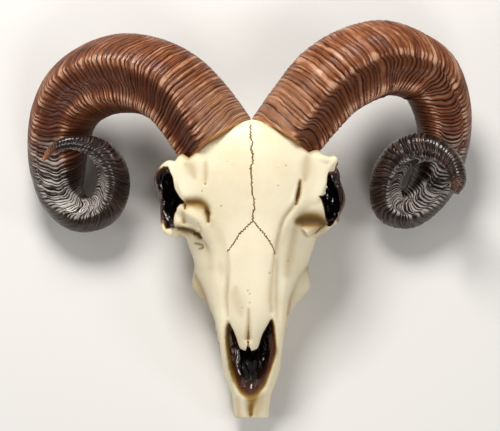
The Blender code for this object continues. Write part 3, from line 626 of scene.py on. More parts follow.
# Each stroke is a share of ochre wash and painted shade that was left in it, and a route of (x, u, breadth,
# depth). A depth below zero is bone put on. +x is the viewer's right. In the folds over and under the lobes,
# under the brows and beside the cheeks' edges that share is partly painted shade, as dark as the shadow that
# falls there.
STROKES = {
    # the viewer's left: brow, tear bone, cheek
    "lobe_left": (0.0, [(-57, 4, 5, -1.6), (-52, 1.5, 5.5, -3.2), (-46, -3.5, 5.5, -3.6),
                        (-41, -10, 5.5, -3.0), (-37.5, -18, 5.5, -1.8), (-34.5, -26, 5.5, -0.6)]),
    # painted shade: under_lobe_left, under_lobe_tail and over_lobe_left carry wash as dark as the shadow in
    # the folds under and over the lobe
    "under_lobe_left": (1.15, [(-63, -12, 3.0, 1.2), (-57, -13.6, 3.4, 2.6), (-50, -15.6, 3.4, 3.0),
                              (-45.5, -19.0, 2.4, 2.4)]),
    "under_lobe_tail": (0.34, [(-46.5, -18.0, 3.0, 0.4), (-43.0, -22.5, 3.4, 1.6), (-40.5, -27, 4.0, 1.8),
                               (-38, -34, 4.6, 1.0), (-36, -44, 5, 0.2)]),
    "knob_valley_left": (0.35, [(-58.5, 6.5, 2.2, 1.2), (-58.8, 1, 2.6, 1.4), (-58, -6, 3.0, 1.4)]),
    "knob_hole_left": (1.0, [(-57.6, 8.2, 1.3, 1.6), (-57.2, 6.2, 1.2, 1.6)]),
    "over_lobe_left": (1.06, [(-59, 10.8, 3.0, 1.4), (-52, 10.6, 4.2, 2.6), (-45, 9.8, 4.6, 2.8),
                              (-39.5, 6.5, 3.6, 1.8), (-37.5, 2, 3.0, 1.0)]),
    "tear_pit_left": (0.95, [(-40, 4.2, 2.0, 1.2), (-38.4, 0.5, 2.0, 2.8), (-36.9, -4.6, 1.6, 1.2)]),
    "tear_rim_left": (0.0, [(-35.2, 3, 1.8, -0.5), (-34.2, -2, 1.8, -0.9), (-33.6, -7, 1.8, -0.4)]),
    "hook_left": (0.9, [(-48.7, -24.1, 1.0, 0.1), (-46.1, -24.6, 1.1, 0.4), (-43.4, -25.9, 1.1, 0.6),
                        (-42.9, -28.2, 1.1, 0.6), (-45.4, -28.9, 1.0, 0.2)]),
    "brow_groove_left": (0.42, [(-39.2, 45, 2.2, 0.0), (-39.2, 40, 2.6, 0.5), (-39.3, 33, 2.4, 0.8),
                                (-39.6, 28, 1.6, 0.6)]),
    "brow_dimple_left": (0.48, [(-56, 44, 2.5, 0.2), (-53, 42, 4.6, 0.6), (-51, 38, 4.6, 0.7),
                                (-49, 33, 2.5, 0.2)]),
    "cheek_groove_left": (0.22, [(-27.4, -40, 2, 0.1), (-26.8, -50, 3.6, 0.9), (-27.2, -62, 2, 0.1)]),
    "cheek_edge_left": (0.42, [(-49.5, -53, 2.4, 0.6), (-47.0, -61.5, 4.4, 1.8), (-44.4, -68.0, 4.8, 2.2),
                               (-41.2, -74.6, 4.4, 1.8), (-38.8, -82.5, 2.6, 0.6)]),
    # the viewer's right
    "slit_right": (0.95, [(41.6, 29.5, 1.5, 0.4), (41, 22, 2.0, 2.6), (40, 15.8, 2.1, 3.2),
                          (38.4, 10.0, 1.5, 0.9)]),
    "slit_rim_right": (0.0, [(38.4, 23, 1.8, -0.3), (36.0, 15, 1.8, -0.8), (34.0, 7.5, 1.8, -0.3)]),
    "tear_groove_right": (0.42, [(36.5, 9, 2.0, 0.7), (33.0, 3.7, 2.4, 1.2), (28.9, -2.3, 2.4, 1.3),
                                 (26.6, -7.5, 2.4, 1.3), (24.7, -14.5, 2.4, 1.2), (22.6, -23, 2.4, 1.0),
                                 (20.9, -33, 2.2, 0.7)]),
    "cheek_valley_right": (0.42, [(40.5, -4, 3.4, 0.6), (38.6, -12, 3.8, 1.5), (36.4, -24, 4.2, 1.4),
                                  (33.6, -36, 4.6, 1.0), (31, -50, 4.6, 0.4)]),
    # painted shadow: under_brow_right and under_brow_shadow darken the bone under the brow's overhang, most
    # at its top edge, fading downwards
    "under_brow_right": (1.28, [(40.5, -5.0, 3.6, 0.4), (46.0, -4.2, 6.0, 1.2), (52.4, -4.2, 6.4, 1.4),
                                (58.8, -5.4, 5.0, 1.0), (63.0, -7.4, 3.0, 0.4)]),
    "under_brow_shadow": (0.55, [(46.0, -9.5, 4.5, 0.0), (53.0, -10.5, 6.5, 0.0), (60.0, -11.5, 4.5, 0.0)]),
    "under_slot_right": (0.95, [(62.5, -10.0, 1.3, 0.6), (59.0, -12.5, 1.5, 1.4), (55.6, -15.6, 1.2, 0.6)]),
    "brow_dimple_right": (0.52, [(47.5, 50, 2.5, 0.2), (47.5, 45, 4.8, 0.6), (47, 38, 4.8, 0.8),
                                 (45.5, 31, 2.5, 0.2)]),
    "cheek_edge_right": (0.30, [(51.5, -43, 2.4, 0.8), (47.0, -51.2, 4.6, 2.0), (43.8, -57.2, 5.2, 2.4),
                                (40.0, -65.6, 5.2, 2.4), (35.8, -73.6, 4.4, 1.8), (32.0, -84.5, 2.6, 0.5)]),
    # the nasal plate
    "plate_edge_left": (0.40, [(-20.5, -32, 1.6, 0.4), (-19.8, -46, 2.2, 0.7), (-20.9, -59, 2.6, 0.8),
                               (-22, -69, 2.6, 0.8), (-21.7, -77, 2.4, 0.7), (-20.6, -86, 1.8, 0.5)]),
    "plate_edge_right": (0.48, [(20.2, -33, 1.8, 0.6), (18.9, -47, 2.6, 1.0), (17.6, -62, 3.0, 1.1),
                                (17.0, -72, 2.8, 1.0), (17.4, -82, 2.2, 0.8)]),
    "plate_middle": (0.60, [(-2.6, -80, 1.2, 0.1), (-2.5, -88, 1.7, 0.5), (-2.6, -97, 2.1, 1.2),
                            (-2.8, -106, 2.6, 2.6), (-2.9, -111, 2.8, 3.0)]),
    "plate_stain": (0.42, [(-13.5, -62, 2.5, 0.0), (-13.5, -70, 6, 0.1), (-11.5, -76, 6, 0.1),
                           (-9, -84, 2.5, 0.0)]),
    # the tip of the muzzle
    "lip_groove": (0.85, [(1.5, -160, 6.0, 0.7), (-0.4, -167, 4.0, 1.6), (-0.6, -174, 2.4, 1.4)]),
    "lip_stain": (0.5, [(8, -157, 5.0, 0.0), (6, -164, 6.0, 0.3), (4, -172, 4.0, 0.0)]),
    "lip_side_left": (0.4, [(-12, -160, 3.0, 0.2), (-11.5, -170, 3.0, 0.5), (-11, -176, 2.4, 0.2)]),
}
# Small holes for vessels and chance pits: x, u and radius in mm.
HOLES = [(-42.2, 20.9, 0.6), (-26.0, 8.1, 0.6), (-39.5, 26.8, 0.7), (29.4, 42.6, 0.5), (22.9, 25.6, 0.5),
         (-3.2, -64.2, 0.7), (-1.7, -67, 0.6), (-1.7, -74.6, 0.6), (-8.1, -79.2, 0.5), (15.4, -49.2, 0.7),
         (32.1, -39, 0.6)]
HOLE_DEPTH = 0.5
HOLE_WASH = 0.75
STROKE_FLATNESS = 0.45              # how much a point's depth counts in its distance from a stroke
STROKE_REACH = 2.6                  # breadths of a stroke past which it presses nothing
WASH_AND_SHADE_SPREAD = 0.6                   # below 1, the wash and painted shade are spread wider than the stroke's depth
ABOVE_FACE = 60                     # f from which routes are dropped on the face


def laid_on(obj, route, step=1.2):
    """The route on the front of the object, every step mm: points of (x, u, f, ...)."""
    route = np.array(route, float)
    lengths = np.linalg.norm(np.diff(route[:, :2], axis=0), axis=1)
    knots = np.concatenate([[0], np.cumsum(lengths)])
    fine = smooth_through(knots, route, np.linspace(0, knots[-1], max(2, round(knots[-1] / step) + 1)))
    laid = []
    for x, u, *rest in fine:
        found, place, _, _ = obj.ray_cast((x, u, ABOVE_FACE), (0, 0, -1))
        if found:
            laid.append((x, u, place.z, *rest))
    laid = np.array(laid)
    if step > 1 and len(laid) > 4:
        padded = np.concatenate([laid[:1, 2], laid[:1, 2], laid[:, 2], laid[-1:, 2], laid[-1:, 2]])
        laid[:, 2] = np.convolve(padded, np.full(5, 0.2), mode="valid")
    return laid


def vertex_table(mesh, attribute="co"):
    table = np.empty(len(mesh.vertices) * 3)
    mesh.vertices.foreach_get(attribute, table)
    return table.reshape(-1, 3)


def pressed(points, route):
    """How deep the route's stroke presses each point, and how much of the stroke's middle it gets."""
    reach = STROKE_REACH * route[:, 3].max() * np.array((1, 1, 1 / STROKE_FLATNESS))
    low, high = route[:, :3].min(0) - reach, route[:, :3].max(0) + reach
    near = np.flatnonzero(np.all((points > low) & (points < high), axis=1))
    offset = (points[near, None, :] - route[None, :, :3]) * (1, 1, STROKE_FLATNESS)
    share = (offset ** 2).sum(2) / route[None, :, 3] ** 2
    best = share.argmin(1)
    middle = np.exp(-share[np.arange(len(near)), best])
    return near, route[best, 4] * middle, middle


def sculpt(obj):
    """Works the strokes into the front of the skull, and returns the wash and the painted shade left at each
    point.
    """
    points = vertex_table(obj.data)
    normals = vertex_table(obj.data, "normal")
    push = np.zeros(len(points))
    wash = np.zeros(len(points))
    strokes = [(share, laid_on(obj, route)) for share, route in STROKES.values()]
    for x, u, radius in HOLES:
        dot = [(x, u, radius, HOLE_DEPTH), (x, u - 0.2, radius, HOLE_DEPTH)]
        strokes.append((HOLE_WASH, laid_on(obj, dot)))
    for share, route in strokes:
        near, depth, middle = pressed(points, route)
        push[near] += depth
        wash[near] = np.maximum(wash[near], share * middle ** WASH_AND_SHADE_SPREAD)
    points -= normals * push[:, None]
    obj.data.vertices.foreach_set("co", points.ravel())
    obj.data.update()
    return wash


wash_and_shade_left = sculpt(skull)

# ---------------------------------------------------------------- the sutures
# The two that show are cracks drawn into the clay with a point: the zigzag down the middle of the forehead,
# and the V above the nasal plate.

# Routes of (x, u), which a small jag roughens.
MIDLINE = [(-0.7, 77), (-0.9, 66.4), (0.9, 62.5), (-0.6, 56.6), (1.3, 51.5), (0.9, 44.7), (-0.9, 41.3),
           (0.2, 30.2), (0.4, 20.9), (0.9, 17.5), (2.4, 13.2), (1.6, 8.9), (2.7, 6.4), (1.1, 2.1),
           (1.0, -4.7)]
V_SUTURE = [[(1.0, -4.7), (-4.8, -10.1), (-10.0, -15.6), (-15.2, -24.1), (-20.4, -30.6)],
            [(1.0, -4.7), (8.3, -12.8), (13.5, -18.9), (17.9, -26.7), (20.2, -33)]]
SUTURE_RADIUS = 0.36
JAG = 0.6                           # mm that the crack swings to each side
JAG_PERIOD = 2.8                    # mm along the crack


def suture_cutter(obj, route, seed):
    """A thin uneven rod that lies half in the surface along the route."""
    chance = np.random.default_rng(seed)
    route = np.array(route, float)
    lengths = np.linalg.norm(np.diff(route, axis=0), axis=1)
    knots = np.concatenate([[0], np.cumsum(lengths)])
    places = np.arange(0, knots[-1], JAG_PERIOD / 4)
    line = np.column_stack([np.interp(places, knots, route[:, k]) for k in (0, 1)])
    along = np.gradient(line, axis=0)
    along /= np.linalg.norm(along, axis=1)[:, None]
    swing = JAG * np.sin(2 * np.pi * places / JAG_PERIOD + chance.normal(0, 0.9, len(places)))
    swing *= 0.4 + chance.random(len(places))
    line += np.column_stack([-along[:, 1], along[:, 0]]) * swing[:, None]
    laid = laid_on(obj, [(x, u, SUTURE_RADIUS * chance.uniform(0.7, 1.3)) for x, u in line], step=0.5)
    return rod("suture", [(x, u, f - 0.1, radius) for x, u, f, radius in laid], steps=1, sides=8)


# ---------------------------------------------------------------- where the washes, the painted shade and the lacquer lie
# The ochre wash stays in strokes and hollows, and with it painted shade: the hollows, the folds and the sides
# that turn away are coloured as dark as the shade that falls on them. The black-brown lacquer pools in the
# nose and the orbits, and runs thin up to their rims. All are worked out here for each point of the bone, and
# painted later.


def give(mesh, name, values):
    """Stores one number for each point of the mesh."""
    made = mesh.attributes.get(name) or mesh.attributes.new(name, "FLOAT", "POINT")
    made.data.foreach_set("value", np.asarray(values, np.float32))


def taken(mesh, name):
    values = np.empty(len(mesh.vertices), np.float32)
    mesh.attributes[name].data.foreach_get("value", values)
    return values


def eased(value, low, high):
    """0 below low, 1 above high, and an easy rise between them."""
    t = np.clip((value - low) / (high - low), 0, 1)
    return t * t * (3 - 2 * t)


def outline_depth(points, outline):
    """How far each point lies inside the outline, in mm; below zero outside it."""
    corners = np.array(outline, float)
    ends = np.roll(corners, -1, axis=0)
    inside = np.zeros(len(points), bool)
    nearest = np.full(len(points), 1e9)
    for a, b in zip(corners, ends):
        t = np.clip(((points - a) @ (b - a)) / ((b - a) @ (b - a)), 0, 1)
        nearest = np.minimum(nearest, np.linalg.norm(points - a - t[:, None] * (b - a), axis=1))
        crosses = (points[:, 1] < a[1]) != (points[:, 1] < b[1])
        with np.errstate(divide="ignore", invalid="ignore"):
            x = a[0] + (points[:, 1] - a[1]) * (b[0] - a[0]) / (b[1] - a[1])
        inside ^= crosses & (points[:, 0] < x)
    return np.where(inside, nearest, -nearest)


NOSE_BLACK = 19.0                   # mm below the nose's rim at which the lacquer is black
NOSE_WIPED = 0.55                   # share of it wiped off the nose's wall on the viewer's left
NOSE_WIPED_FROM = (9, 15)           # mm left of the middle between which it is wiped off
NOSE_ROOF = (20, -90, -50, 9)       # under the plate: half width, u from and to, mm below the face's edge
NOSE_RUN = 1.6                      # mm that it runs out past the nose's outline
ORBIT_BLACK = 4.0                   # mm in from the orbit's outline at which it is black
ORBIT_STAIN = 0.22                  # share of lacquer at the outline itself
ORBIT_SIDE = 0.75                   # share of it on the opening's upright sides
ORBIT_DEEPEST = 34                  # mm below the opening's floor past which there is none
RIM_STAIN = {LEFT: 0.3, RIGHT: 0.42}            # share of lacquer on the outer rim of each orbit
RIPPLE_HEIGHT = 0.7                 # mm that the thick lacquer stands in ripples


def nose_lacquer(points):
    """How much lacquer lies at each point in and about the nose: 0 on open bone, 1 where it is black."""
    x, u, f = points.T
    below = rim_depth(u) - f
    inside = outline_depth(points[:, :2], NOSE_OPENING)
    half, top, middle = plate_at(u)
    roof_half, roof_low, roof_high, roof_drop = NOSE_ROOF
    under_plate = (abs(x) < roof_half) & (u > roof_low) & (u < roof_high) & (below > roof_drop)
    share = np.clip((below - 0.4) / NOSE_BLACK, 0, 1) * np.where(under_plate, 1, eased(inside, -NOSE_RUN, 0))
    share *= 1 - NOSE_WIPED * eased(-x, *NOSE_WIPED_FROM)
    plate_tip = NASAL_PLATE[-1][0] - 1
    on_plate = (abs(x - middle) < half + 0.8) & (u > plate_tip) & (f > top - NASAL_THICKNESS + 2)
    under_nose = f < NOSE_FLOOR - 4 - 0.15 * np.clip(u + 130, 0, 60)
    share[on_plate | under_nose] = 0
    return share


def orbit_lacquer(points, normals, side):
    """The same in and about the orbit of one side."""
    x, u, f = points.T
    place = (Matrix.Translation((side * ORBIT_CENTRE[0], *ORBIT_CENTRE[1:]))
             @ Matrix.Rotation(math.radians(side * ORBIT_TURN), 4, "Y"))
    turned = (points - np.array(place.translation)) @ np.array(place.to_3x3())
    reach = np.linalg.norm(turned / ORBIT_RADII, axis=1)
    facing = ((np.array(place.translation) - points) * normals).sum(1)
    in_socket = (1 - eased(reach, 1.0, 1.06)) * eased(facing, 0, 6)
    inside = outline_depth(points[:, :2], ORBIT_OPENING[side])
    upright = eased(1 - abs(normals[:, 2]), 0.35, 0.75)
    opening = ORBIT_STAIN * eased(inside, -1.0, 0.4) + (1 - ORBIT_STAIN) * eased(inside, 0, ORBIT_BLACK)
    opening = np.maximum(opening, ORBIT_SIDE * upright * eased(inside, -1.0, -0.2))
    opening[f < orbit_floor(side, points) - ORBIT_DEEPEST] = 0
    rim = RIM_STAIN[side] * eased(side * x, 72, 76) * eased(u, -10, 0) * (1 - eased(u, 34, 44)) * (f > -50)
    return np.maximum.reduce([opening, in_socket, rim])


def in_ripples(points):
    """Heights from -1 to 1 of the ripples in which the lacquer set."""
    across = points @ (1.15, 0.1, 0.3) + 1.8 * np.sin(points[:, 1] * 0.28)
    return np.sin(across) * np.sin(points @ (0.13, 0.31, 0.2))


# How hollow the bone is at two sizes: passes of smoothing that level it, and the gain on what they fill.
HOLLOW_SIZES = {"hollow_fine": (8, 1.0), "hollow_wide": (60, 0.35)}


def colour_places(obj, wash):
    """Works out where the washes, the painted shade and the lacquer lie, from the strokes, from how hollow
    the bone is and from how far it turns away.
    """
    points = vertex_table(obj.data)
    normals = vertex_table(obj.data, "normal")
    lacquer = np.maximum.reduce([nose_lacquer(points)]
                                + [orbit_lacquer(points, normals, side) for side in (LEFT, RIGHT)])
    points += normals * (RIPPLE_HEIGHT * in_ripples(points) * eased(lacquer, 0.45, 0.9))[:, None]
    obj.data.vertices.foreach_set("co", points.ravel())
    obj.data.update()
    for name, (passes, gain) in HOLLOW_SIZES.items():
        melted = obj.copy()
        melted.data = obj.data.copy()
        bpy.context.scene.collection.objects.link(melted)
        with_modifier(melted, "SMOOTH", factor=0.5, iterations=round(passes / GRAIN ** 2))
        sunk = ((vertex_table(melted.data) - points) * normals).sum(1)
        bpy.data.objects.remove(melted)
        give(obj.data, name, np.clip(sunk * gain, -1, 1))
    give(obj.data, "wash", wash)
    # painted shade: how far the bone turns away to the sides, for the ochre painted there as its shade
    give(obj.data, "turned_away", eased(1 - normals[:, 2], 0.25, 0.95))
    give(obj.data, "lacquer", lacquer)
    give(obj.data, "kept", np.ones(len(points)))
    give(obj.data, "crack", np.zeros(len(points)))


COLOUR_FIELDS = ("hollow_fine", "hollow_wide", "wash", "turned_away", "lacquer")


def fill_new(obj, crack=0.0):
    """Points that a cut has made take the colours of the nearest old point, and this much of a crack's."""
    mesh = obj.data
    kept = taken(mesh, "kept") > 0.5
    old, new = np.flatnonzero(kept), np.flatnonzero(~kept)
    if len(new) == 0:
        return
    points = vertex_table(mesh)
    tree = kdtree.KDTree(len(old))
    for place, k in enumerate(old):
        tree.insert(points[k], place)
    tree.balance()
    source = old[[tree.find(points[k])[1] for k in new]]
    for name in COLOUR_FIELDS + ("crack",):
        values = taken(mesh, name)
        values[new] = values[source] if name != "crack" or crack == 0 else crack
        give(mesh, name, values)
    give(mesh, "kept", np.ones(len(points)))


def draw_sutures(obj):
    for seed, route in enumerate([MIDLINE] + V_SUTURE):
        combine(obj, suture_cutter(obj, route, seed))
    fill_new(obj, crack=1.0)


# ---------------------------------------------------------------- parting the bones
# Room is made for the horns and the skull is cut level where it rests. Then it is parted along its sutures
# into ten bones, so that each can be taken on its own. They stay closed and meet face to face.

HORN_EDGE_WASH_AND_SHADOW = 2.6                # mm of wash and painted shadow on the bone beside each horn, under the horn's edge
HORN_EDGE_SHARE = 0.75
HORNS_FROM = 40                     # u past which a cut face is one that a horn has made
FAR = 250.0                         # mm, past the skull in every direction
FACE_TOP = -26.0                    # u where the cheek bones of the muzzle meet the forehead
BRAINCASE_DEPTH = -60.0             # f behind which the forehead gives way to the braincase
MUZZLE_SUTURE = [(-6, -109), (60, -142)]        # between the tip of the muzzle and the cheek, for +x
CHEEK_BOX = [(68, -40, -90), (FAR, 33, -24)]    # corners of the space that holds the cheek bone, for +x
CRUMB_POINTS = 60                   # a loose bit with fewer points than this is a crumb


def settle(obj):
    """Makes room for the horns, and cuts the skull level where it rests."""
    for side in (LEFT, RIGHT):
        combine(obj, horn_socket(side))
    mesh = obj.data
    cut_points = vertex_table(mesh)[taken(mesh, "kept") < 0.5]
    tree = kdtree.KDTree(len(cut_points))
    for k, point in enumerate(cut_points):
        tree.insert(point, k)
    tree.balance()
    points = vertex_table(mesh)
    edge = np.zeros(len(points))
    for k in np.flatnonzero(points[:, 1] > HORNS_FROM):
        edge[k] = math.exp(-(tree.find(points[k])[2] / HORN_EDGE_WASH_AND_SHADOW) ** 2)
    fill_new(obj)
    # wash and painted shadow on the bone along each horn's edge
    give(obj.data, "wash", np.maximum(taken(obj.data, "wash"), HORN_EDGE_SHARE * edge))
    return cut_flat(obj, face_point(0, 0, -FLOOR_DEPTH), face_point(0, 0, -1))


def space_right_of_middle():
    """All that lies on the animal's right of the zigzag suture down the forehead."""
    line = [(MIDLINE[0][0], FAR)] + MIDLINE + [(-0.6, -30), (-0.6, -FAR)]
    return prism("space", line + [(-FAR, -FAR), (-FAR, FAR)], -FAR, FAR)


def slab(name, low, high):
    """A box from one corner to the other in the face frame."""
    bm = bmesh.new()
    bmesh.ops.create_cube(bm, size=1)
    bm.transform(Matrix.Translation((Vector(low) + Vector(high)) / 2)
                 @ Matrix.Diagonal((*(Vector(high) - Vector(low)), 1)))
    return add_object(name, mesh_from(bm, name))


def cheek_space(side):
    low, high = CHEEK_BOX
    return slab("space", (min(side * low[0], side * high[0]), *low[1:]),
                (max(side * low[0], side * high[0]), *high[1:]))


def muzzle_space(side):
    (x0, u0), (x1, u1) = MUZZLE_SUTURE
    outline = [(side * x, u) for x, u in ((x0, u0), (x1, u1), (x1, -FAR), (x0, -FAR))]
    return prism("space", outline, -FAR, FAR)


def split_off(obj, name, space):
    """Takes what lies in the space off the object, as an object of its own."""
    piece = obj.copy()
    piece.data = obj.data.copy()
    piece.name = name
    bpy.context.scene.collection.objects.link(piece)
    combine(piece, space, "INTERSECT", keep_tool=True)
    combine(obj, space)
    return piece


def part_bones(whole):
    """Parts the skull along its sutures, and returns the bones by name."""
    bones = {"nasal": split_off(whole, "nasal", nasal_plate("space", rise=12))}
    for side, name in ((LEFT, "zygomatic_left"), (RIGHT, "zygomatic_right")):
        bones[name] = split_off(whole, name, cheek_space(side))
    muzzle = split_off(whole, "maxilla_left", slab("space", (-FAR, -FAR, -FAR), (FAR, FACE_TOP, FAR)))
    bones["maxilla_right"] = split_off(muzzle, "maxilla_right", space_right_of_middle())
    bones["maxilla_left"] = muzzle
    for side, name in ((LEFT, "left"), (RIGHT, "right")):
        bones["premaxilla_" + name] = split_off(bones["maxilla_" + name], "premaxilla_" + name,
                                                muzzle_space(side))
    forehead = split_off(whole, "frontal_left", slab("space", (-FAR, -FAR, BRAINCASE_DEPTH), (FAR, FAR, FAR)))
    bones["frontal_right"] = split_off(forehead, "frontal_right", space_right_of_middle())
    bones["frontal_left"] = forehead
    whole.name = "braincase"
    bones["braincase"] = whole
    return bones


def sweep_crumbs(obj):
    """Removes the loose crumbs that the cuts leave beside a suture."""
    bm = bmesh.new()
    bm.from_mesh(obj.data)
    unseen = set(bm.verts)
    while unseen:
        island, ahead = [], [unseen.pop()]
        while ahead:
            vert = ahead.pop()
            island.append(vert)
            beside = {edge.other_vert(vert) for edge in vert.link_edges} & unseen
            unseen -= beside
            ahead.extend(beside)
        if len(island) < CRUMB_POINTS:
            bmesh.ops.delete(bm, geom=island, context="VERTS")
    bm.to_mesh(obj.data)
    bm.free()


colour_places(skull, wash_and_shade_left)
draw_sutures(skull)
settle(skull)
bones = part_bones(skull)
for part in bones.values():
    sweep_crumbs(part)

# ---------------------------------------------------------------- the bones' paint
# The casting is painted a warm ivory, rubbed over with a thin ochre-brown wash that stays in the hollows
# and along the cracks. In the hollows, the folds and on the sides that turn away, the ochre and brown are
# also painted shade, as dark as the shade that falls there. The nose and the orbits are filled in with a
# glossy black-brown lacquer.


class Value:
    """A socket of a node tree. Sums and products of values and numbers add the Math nodes they need."""

    def __init__(self, recipe, socket):
        self.recipe, self.socket = recipe, socket

    def math(self, operation, *others):
        return self.recipe.add("ShaderNodeMath", {"operation": operation},
                               dict(enumerate((self, *others))))

    def __add__(self, other):
        return self.math("ADD", other)

    def __sub__(self, other):
        return self.math("SUBTRACT", other)

    def __mul__(self, other):
        return self.math("MULTIPLY", other)

    def __truediv__(self, other):
        return self.math("DIVIDE", other)

    def __pow__(self, other):
        return self.math("POWER", other)

    def __radd__(self, other):
        return self + other

    def __rmul__(self, other):
        return self * other

    def __rsub__(self, other):
        return self * -1 + other

    def eased(self, low, high):
        """0 below low, 1 above high, and an easy rise between them."""
        return self.recipe.add("ShaderNodeMapRange", {"interpolation_type": "SMOOTHSTEP"},
                               {"Value": self, "From Min": low, "From Max": high})


class Recipe:
    """A node tree as it is written: add() makes a node, sets it up and fills its sockets."""

    def __init__(self, tree):
        self.tree = tree

    def add(self, kind, settings=None, inputs=None, output=0):
        node = self.tree.nodes.new(kind)
        for setting, value in (settings or {}).items():
            if setting == "curve":
                line = node.mapping.curves[0]
                node.mapping.use_clip = False
                while len(line.points) < len(value):
                    line.points.new(0.5, 0.5)
                for point, place in zip(line.points, value):
                    point.location = place
                node.mapping.update()
            else:
                setattr(node, setting, value)
        for place, value in (inputs or {}).items():
            if isinstance(value, Value):
                self.tree.links.new(value.socket, node.inputs[place])
            else:
                node.inputs[place].default_value = value
        return Value(self, node.outputs[output]) if node.outputs else None

    def mix(self, share, first, second):
        """A colour between the first and the second."""
        first, second = [colour if isinstance(colour, Value) else (*colour, 1) for colour in (first, second)]
        return self.add("ShaderNodeMix", {"data_type": "RGBA"}, {0: share, 6: first, 7: second}, output=2)

    def wire(self, value, socket):
        """Leads a value to a socket of the shader, such as its Base Color."""
        self.tree.links.new(value.socket, socket)

    def attribute(self, name):
        return self.add("ShaderNodeAttribute", {"attribute_name": name}, output="Fac")

    def noise(self, place, scale, detail=2.0, roughness=0.5):
        return self.add("ShaderNodeTexNoise", None,
                        {"Vector": place, "Scale": scale, "Detail": detail, "Roughness": roughness})

    def drawn_out(self, place, scale, count, rate, detail=1.0):
        """Noise drawn out along a horn's ridges; it changes at this rate from one ridge to the next."""
        return self.add("ShaderNodeTexNoise", {"noise_dimensions": "4D"},
                        {"Vector": place, "W": count * (rate / scale), "Scale": scale, "Detail": detail})


def finish_named(name, **uniform):
    """A new material with its shader's uniform values set, and the recipe for the rest of it."""
    made = bpy.data.materials.new(name)
    made.use_nodes = True
    shader = made.node_tree.nodes["Principled BSDF"]
    for socket, value in uniform.items():
        shader.inputs[socket.replace("_", " ")].default_value = value
    return made, Recipe(made.node_tree), shader


IVORY = (0.86, 0.78, 0.57)
WARM_IVORY = (0.79, 0.66, 0.40)
# the wash's ochre and brown, used also for painted shade in the hollows, the folds and on the sides that turn
# away
OCHRE_WASH_AND_SHADE = (0.32, 0.175, 0.018)
BROWN_WASH_AND_SHADE = (0.080, 0.036, 0.007)
LACQUER_BROWN = (0.070, 0.019, 0.006)
LACQUER_BLACK = (0.005, 0.003, 0.0025)
CRACK_INK = (0.230, 0.115, 0.008)
PAINTED_SIDE_SHADE = 0.30                    # share of ochre painted on as shade where the bone turns away to the sides


def bone_paint():
    made, recipe, shader = finish_named("painted_bone", Coat_Roughness=0.06, Specular_IOR_Level=0.45)
    place = recipe.add("ShaderNodeTexCoord", output="Object")
    clouds = recipe.noise(place, 28, 4)
    grain = recipe.noise(place, 260, 3, 0.6)
    wash = recipe.attribute("wash")
    fine = recipe.attribute("hollow_fine")
    wide = recipe.attribute("hollow_wide")
    lacquer = recipe.attribute("lacquer")
    crack_share = recipe.attribute("crack")
    # painted shade: the hollows (sunk) and the sides that turn away take ochre and brown as dark as the shade
    # in them, on top of the real wash
    sunk = (fine * 2.6 + wide * 1.3 + (clouds - 0.5) * 0.3).eased(0.12, 1.1)
    stain_and_shade = (wash * (0.7 + clouds * 0.6) + sunk * 0.5
               + recipe.attribute("turned_away") * (0.4 + clouds * 1.2) * PAINTED_SIDE_SHADE)
    colour = recipe.mix((clouds + grain * 0.25).eased(0.50, 0.85) * 0.5, IVORY, WARM_IVORY)
    colour = recipe.mix(stain_and_shade.eased(0.0, 1.10), colour, OCHRE_WASH_AND_SHADE)
    colour = recipe.mix(stain_and_shade.eased(0.62, 1.55), colour, BROWN_WASH_AND_SHADE)
    specks = recipe.add("ShaderNodeTexVoronoi", None, {"Vector": place, "Scale": 130.0}, output="Distance")
    speck = (1 - specks.eased(0.04, 0.11)) * clouds.eased(0.54, 0.62)
    colour = recipe.mix(speck * 0.35, colour, BROWN_WASH_AND_SHADE)
    pool = (lacquer + (grain - 0.5) * 0.10 * lacquer.eased(0.0, 0.1)).math("MAXIMUM", 0.0)
    colour = recipe.mix(pool.eased(0.0, 0.14), colour, OCHRE_WASH_AND_SHADE)
    colour = recipe.mix(pool.eased(0.08, 0.30), colour, LACQUER_BROWN)
    colour = recipe.mix(pool.eased(0.35, 0.95), colour, LACQUER_BLACK)
    colour = recipe.mix(crack_share.eased(0.3, 0.8), colour, CRACK_INK)
    rough = 0.44 + (grain - 0.5) * 0.16 + stain_and_shade * 0.10 - pool.eased(0.05, 0.5) * 0.28
    wrinkles = recipe.noise(place, 170, 2) * lacquer.eased(0.2, 0.6) * 5.0
    height = grain * 0.6 + clouds * 0.8 - speck * 0.8 + wrinkles
    bump = recipe.add("ShaderNodeBump", None, {"Height": height, "Strength": 0.3, "Distance": 0.0006},
                      output="Normal")
    recipe.wire(colour, shader.inputs["Base Color"])
    recipe.wire(rough, shader.inputs["Roughness"])
    recipe.wire(pool.eased(0.05, 0.4), shader.inputs["Coat Weight"])
    recipe.wire(bump, shader.inputs["Normal"])
    return made


SHARP_EDGE = math.radians(42)
bone_finish = bone_paint()
for bone_name, bone in bones.items():
    fill_new(bone)
    bone.data.transform(TO_REST)
    bone.name = bone_name + "_bone"
    bone.data.shade_smooth()
    bone.data.set_sharp_from_angle(angle=SHARP_EDGE)
    bone.data.materials.clear()
    bone.data.materials.append(bone_finish)
    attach(bone, "root")
    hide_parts(bone_name)

# ---------------------------------------------------------------- the horns
# Each horn is cast with the skull, its ridges modelled right round it. It is painted dark red-brown, its
# ridges are dry-brushed with terracotta and pale salmon, and a gloss varnish lies over it all. Light and
# shade are
# partly painted in: the front face and the underside darker as painted shade, the outer face paler as painted
# light, and painted highlights on the ridge band, the front ridge and the curls' fins.

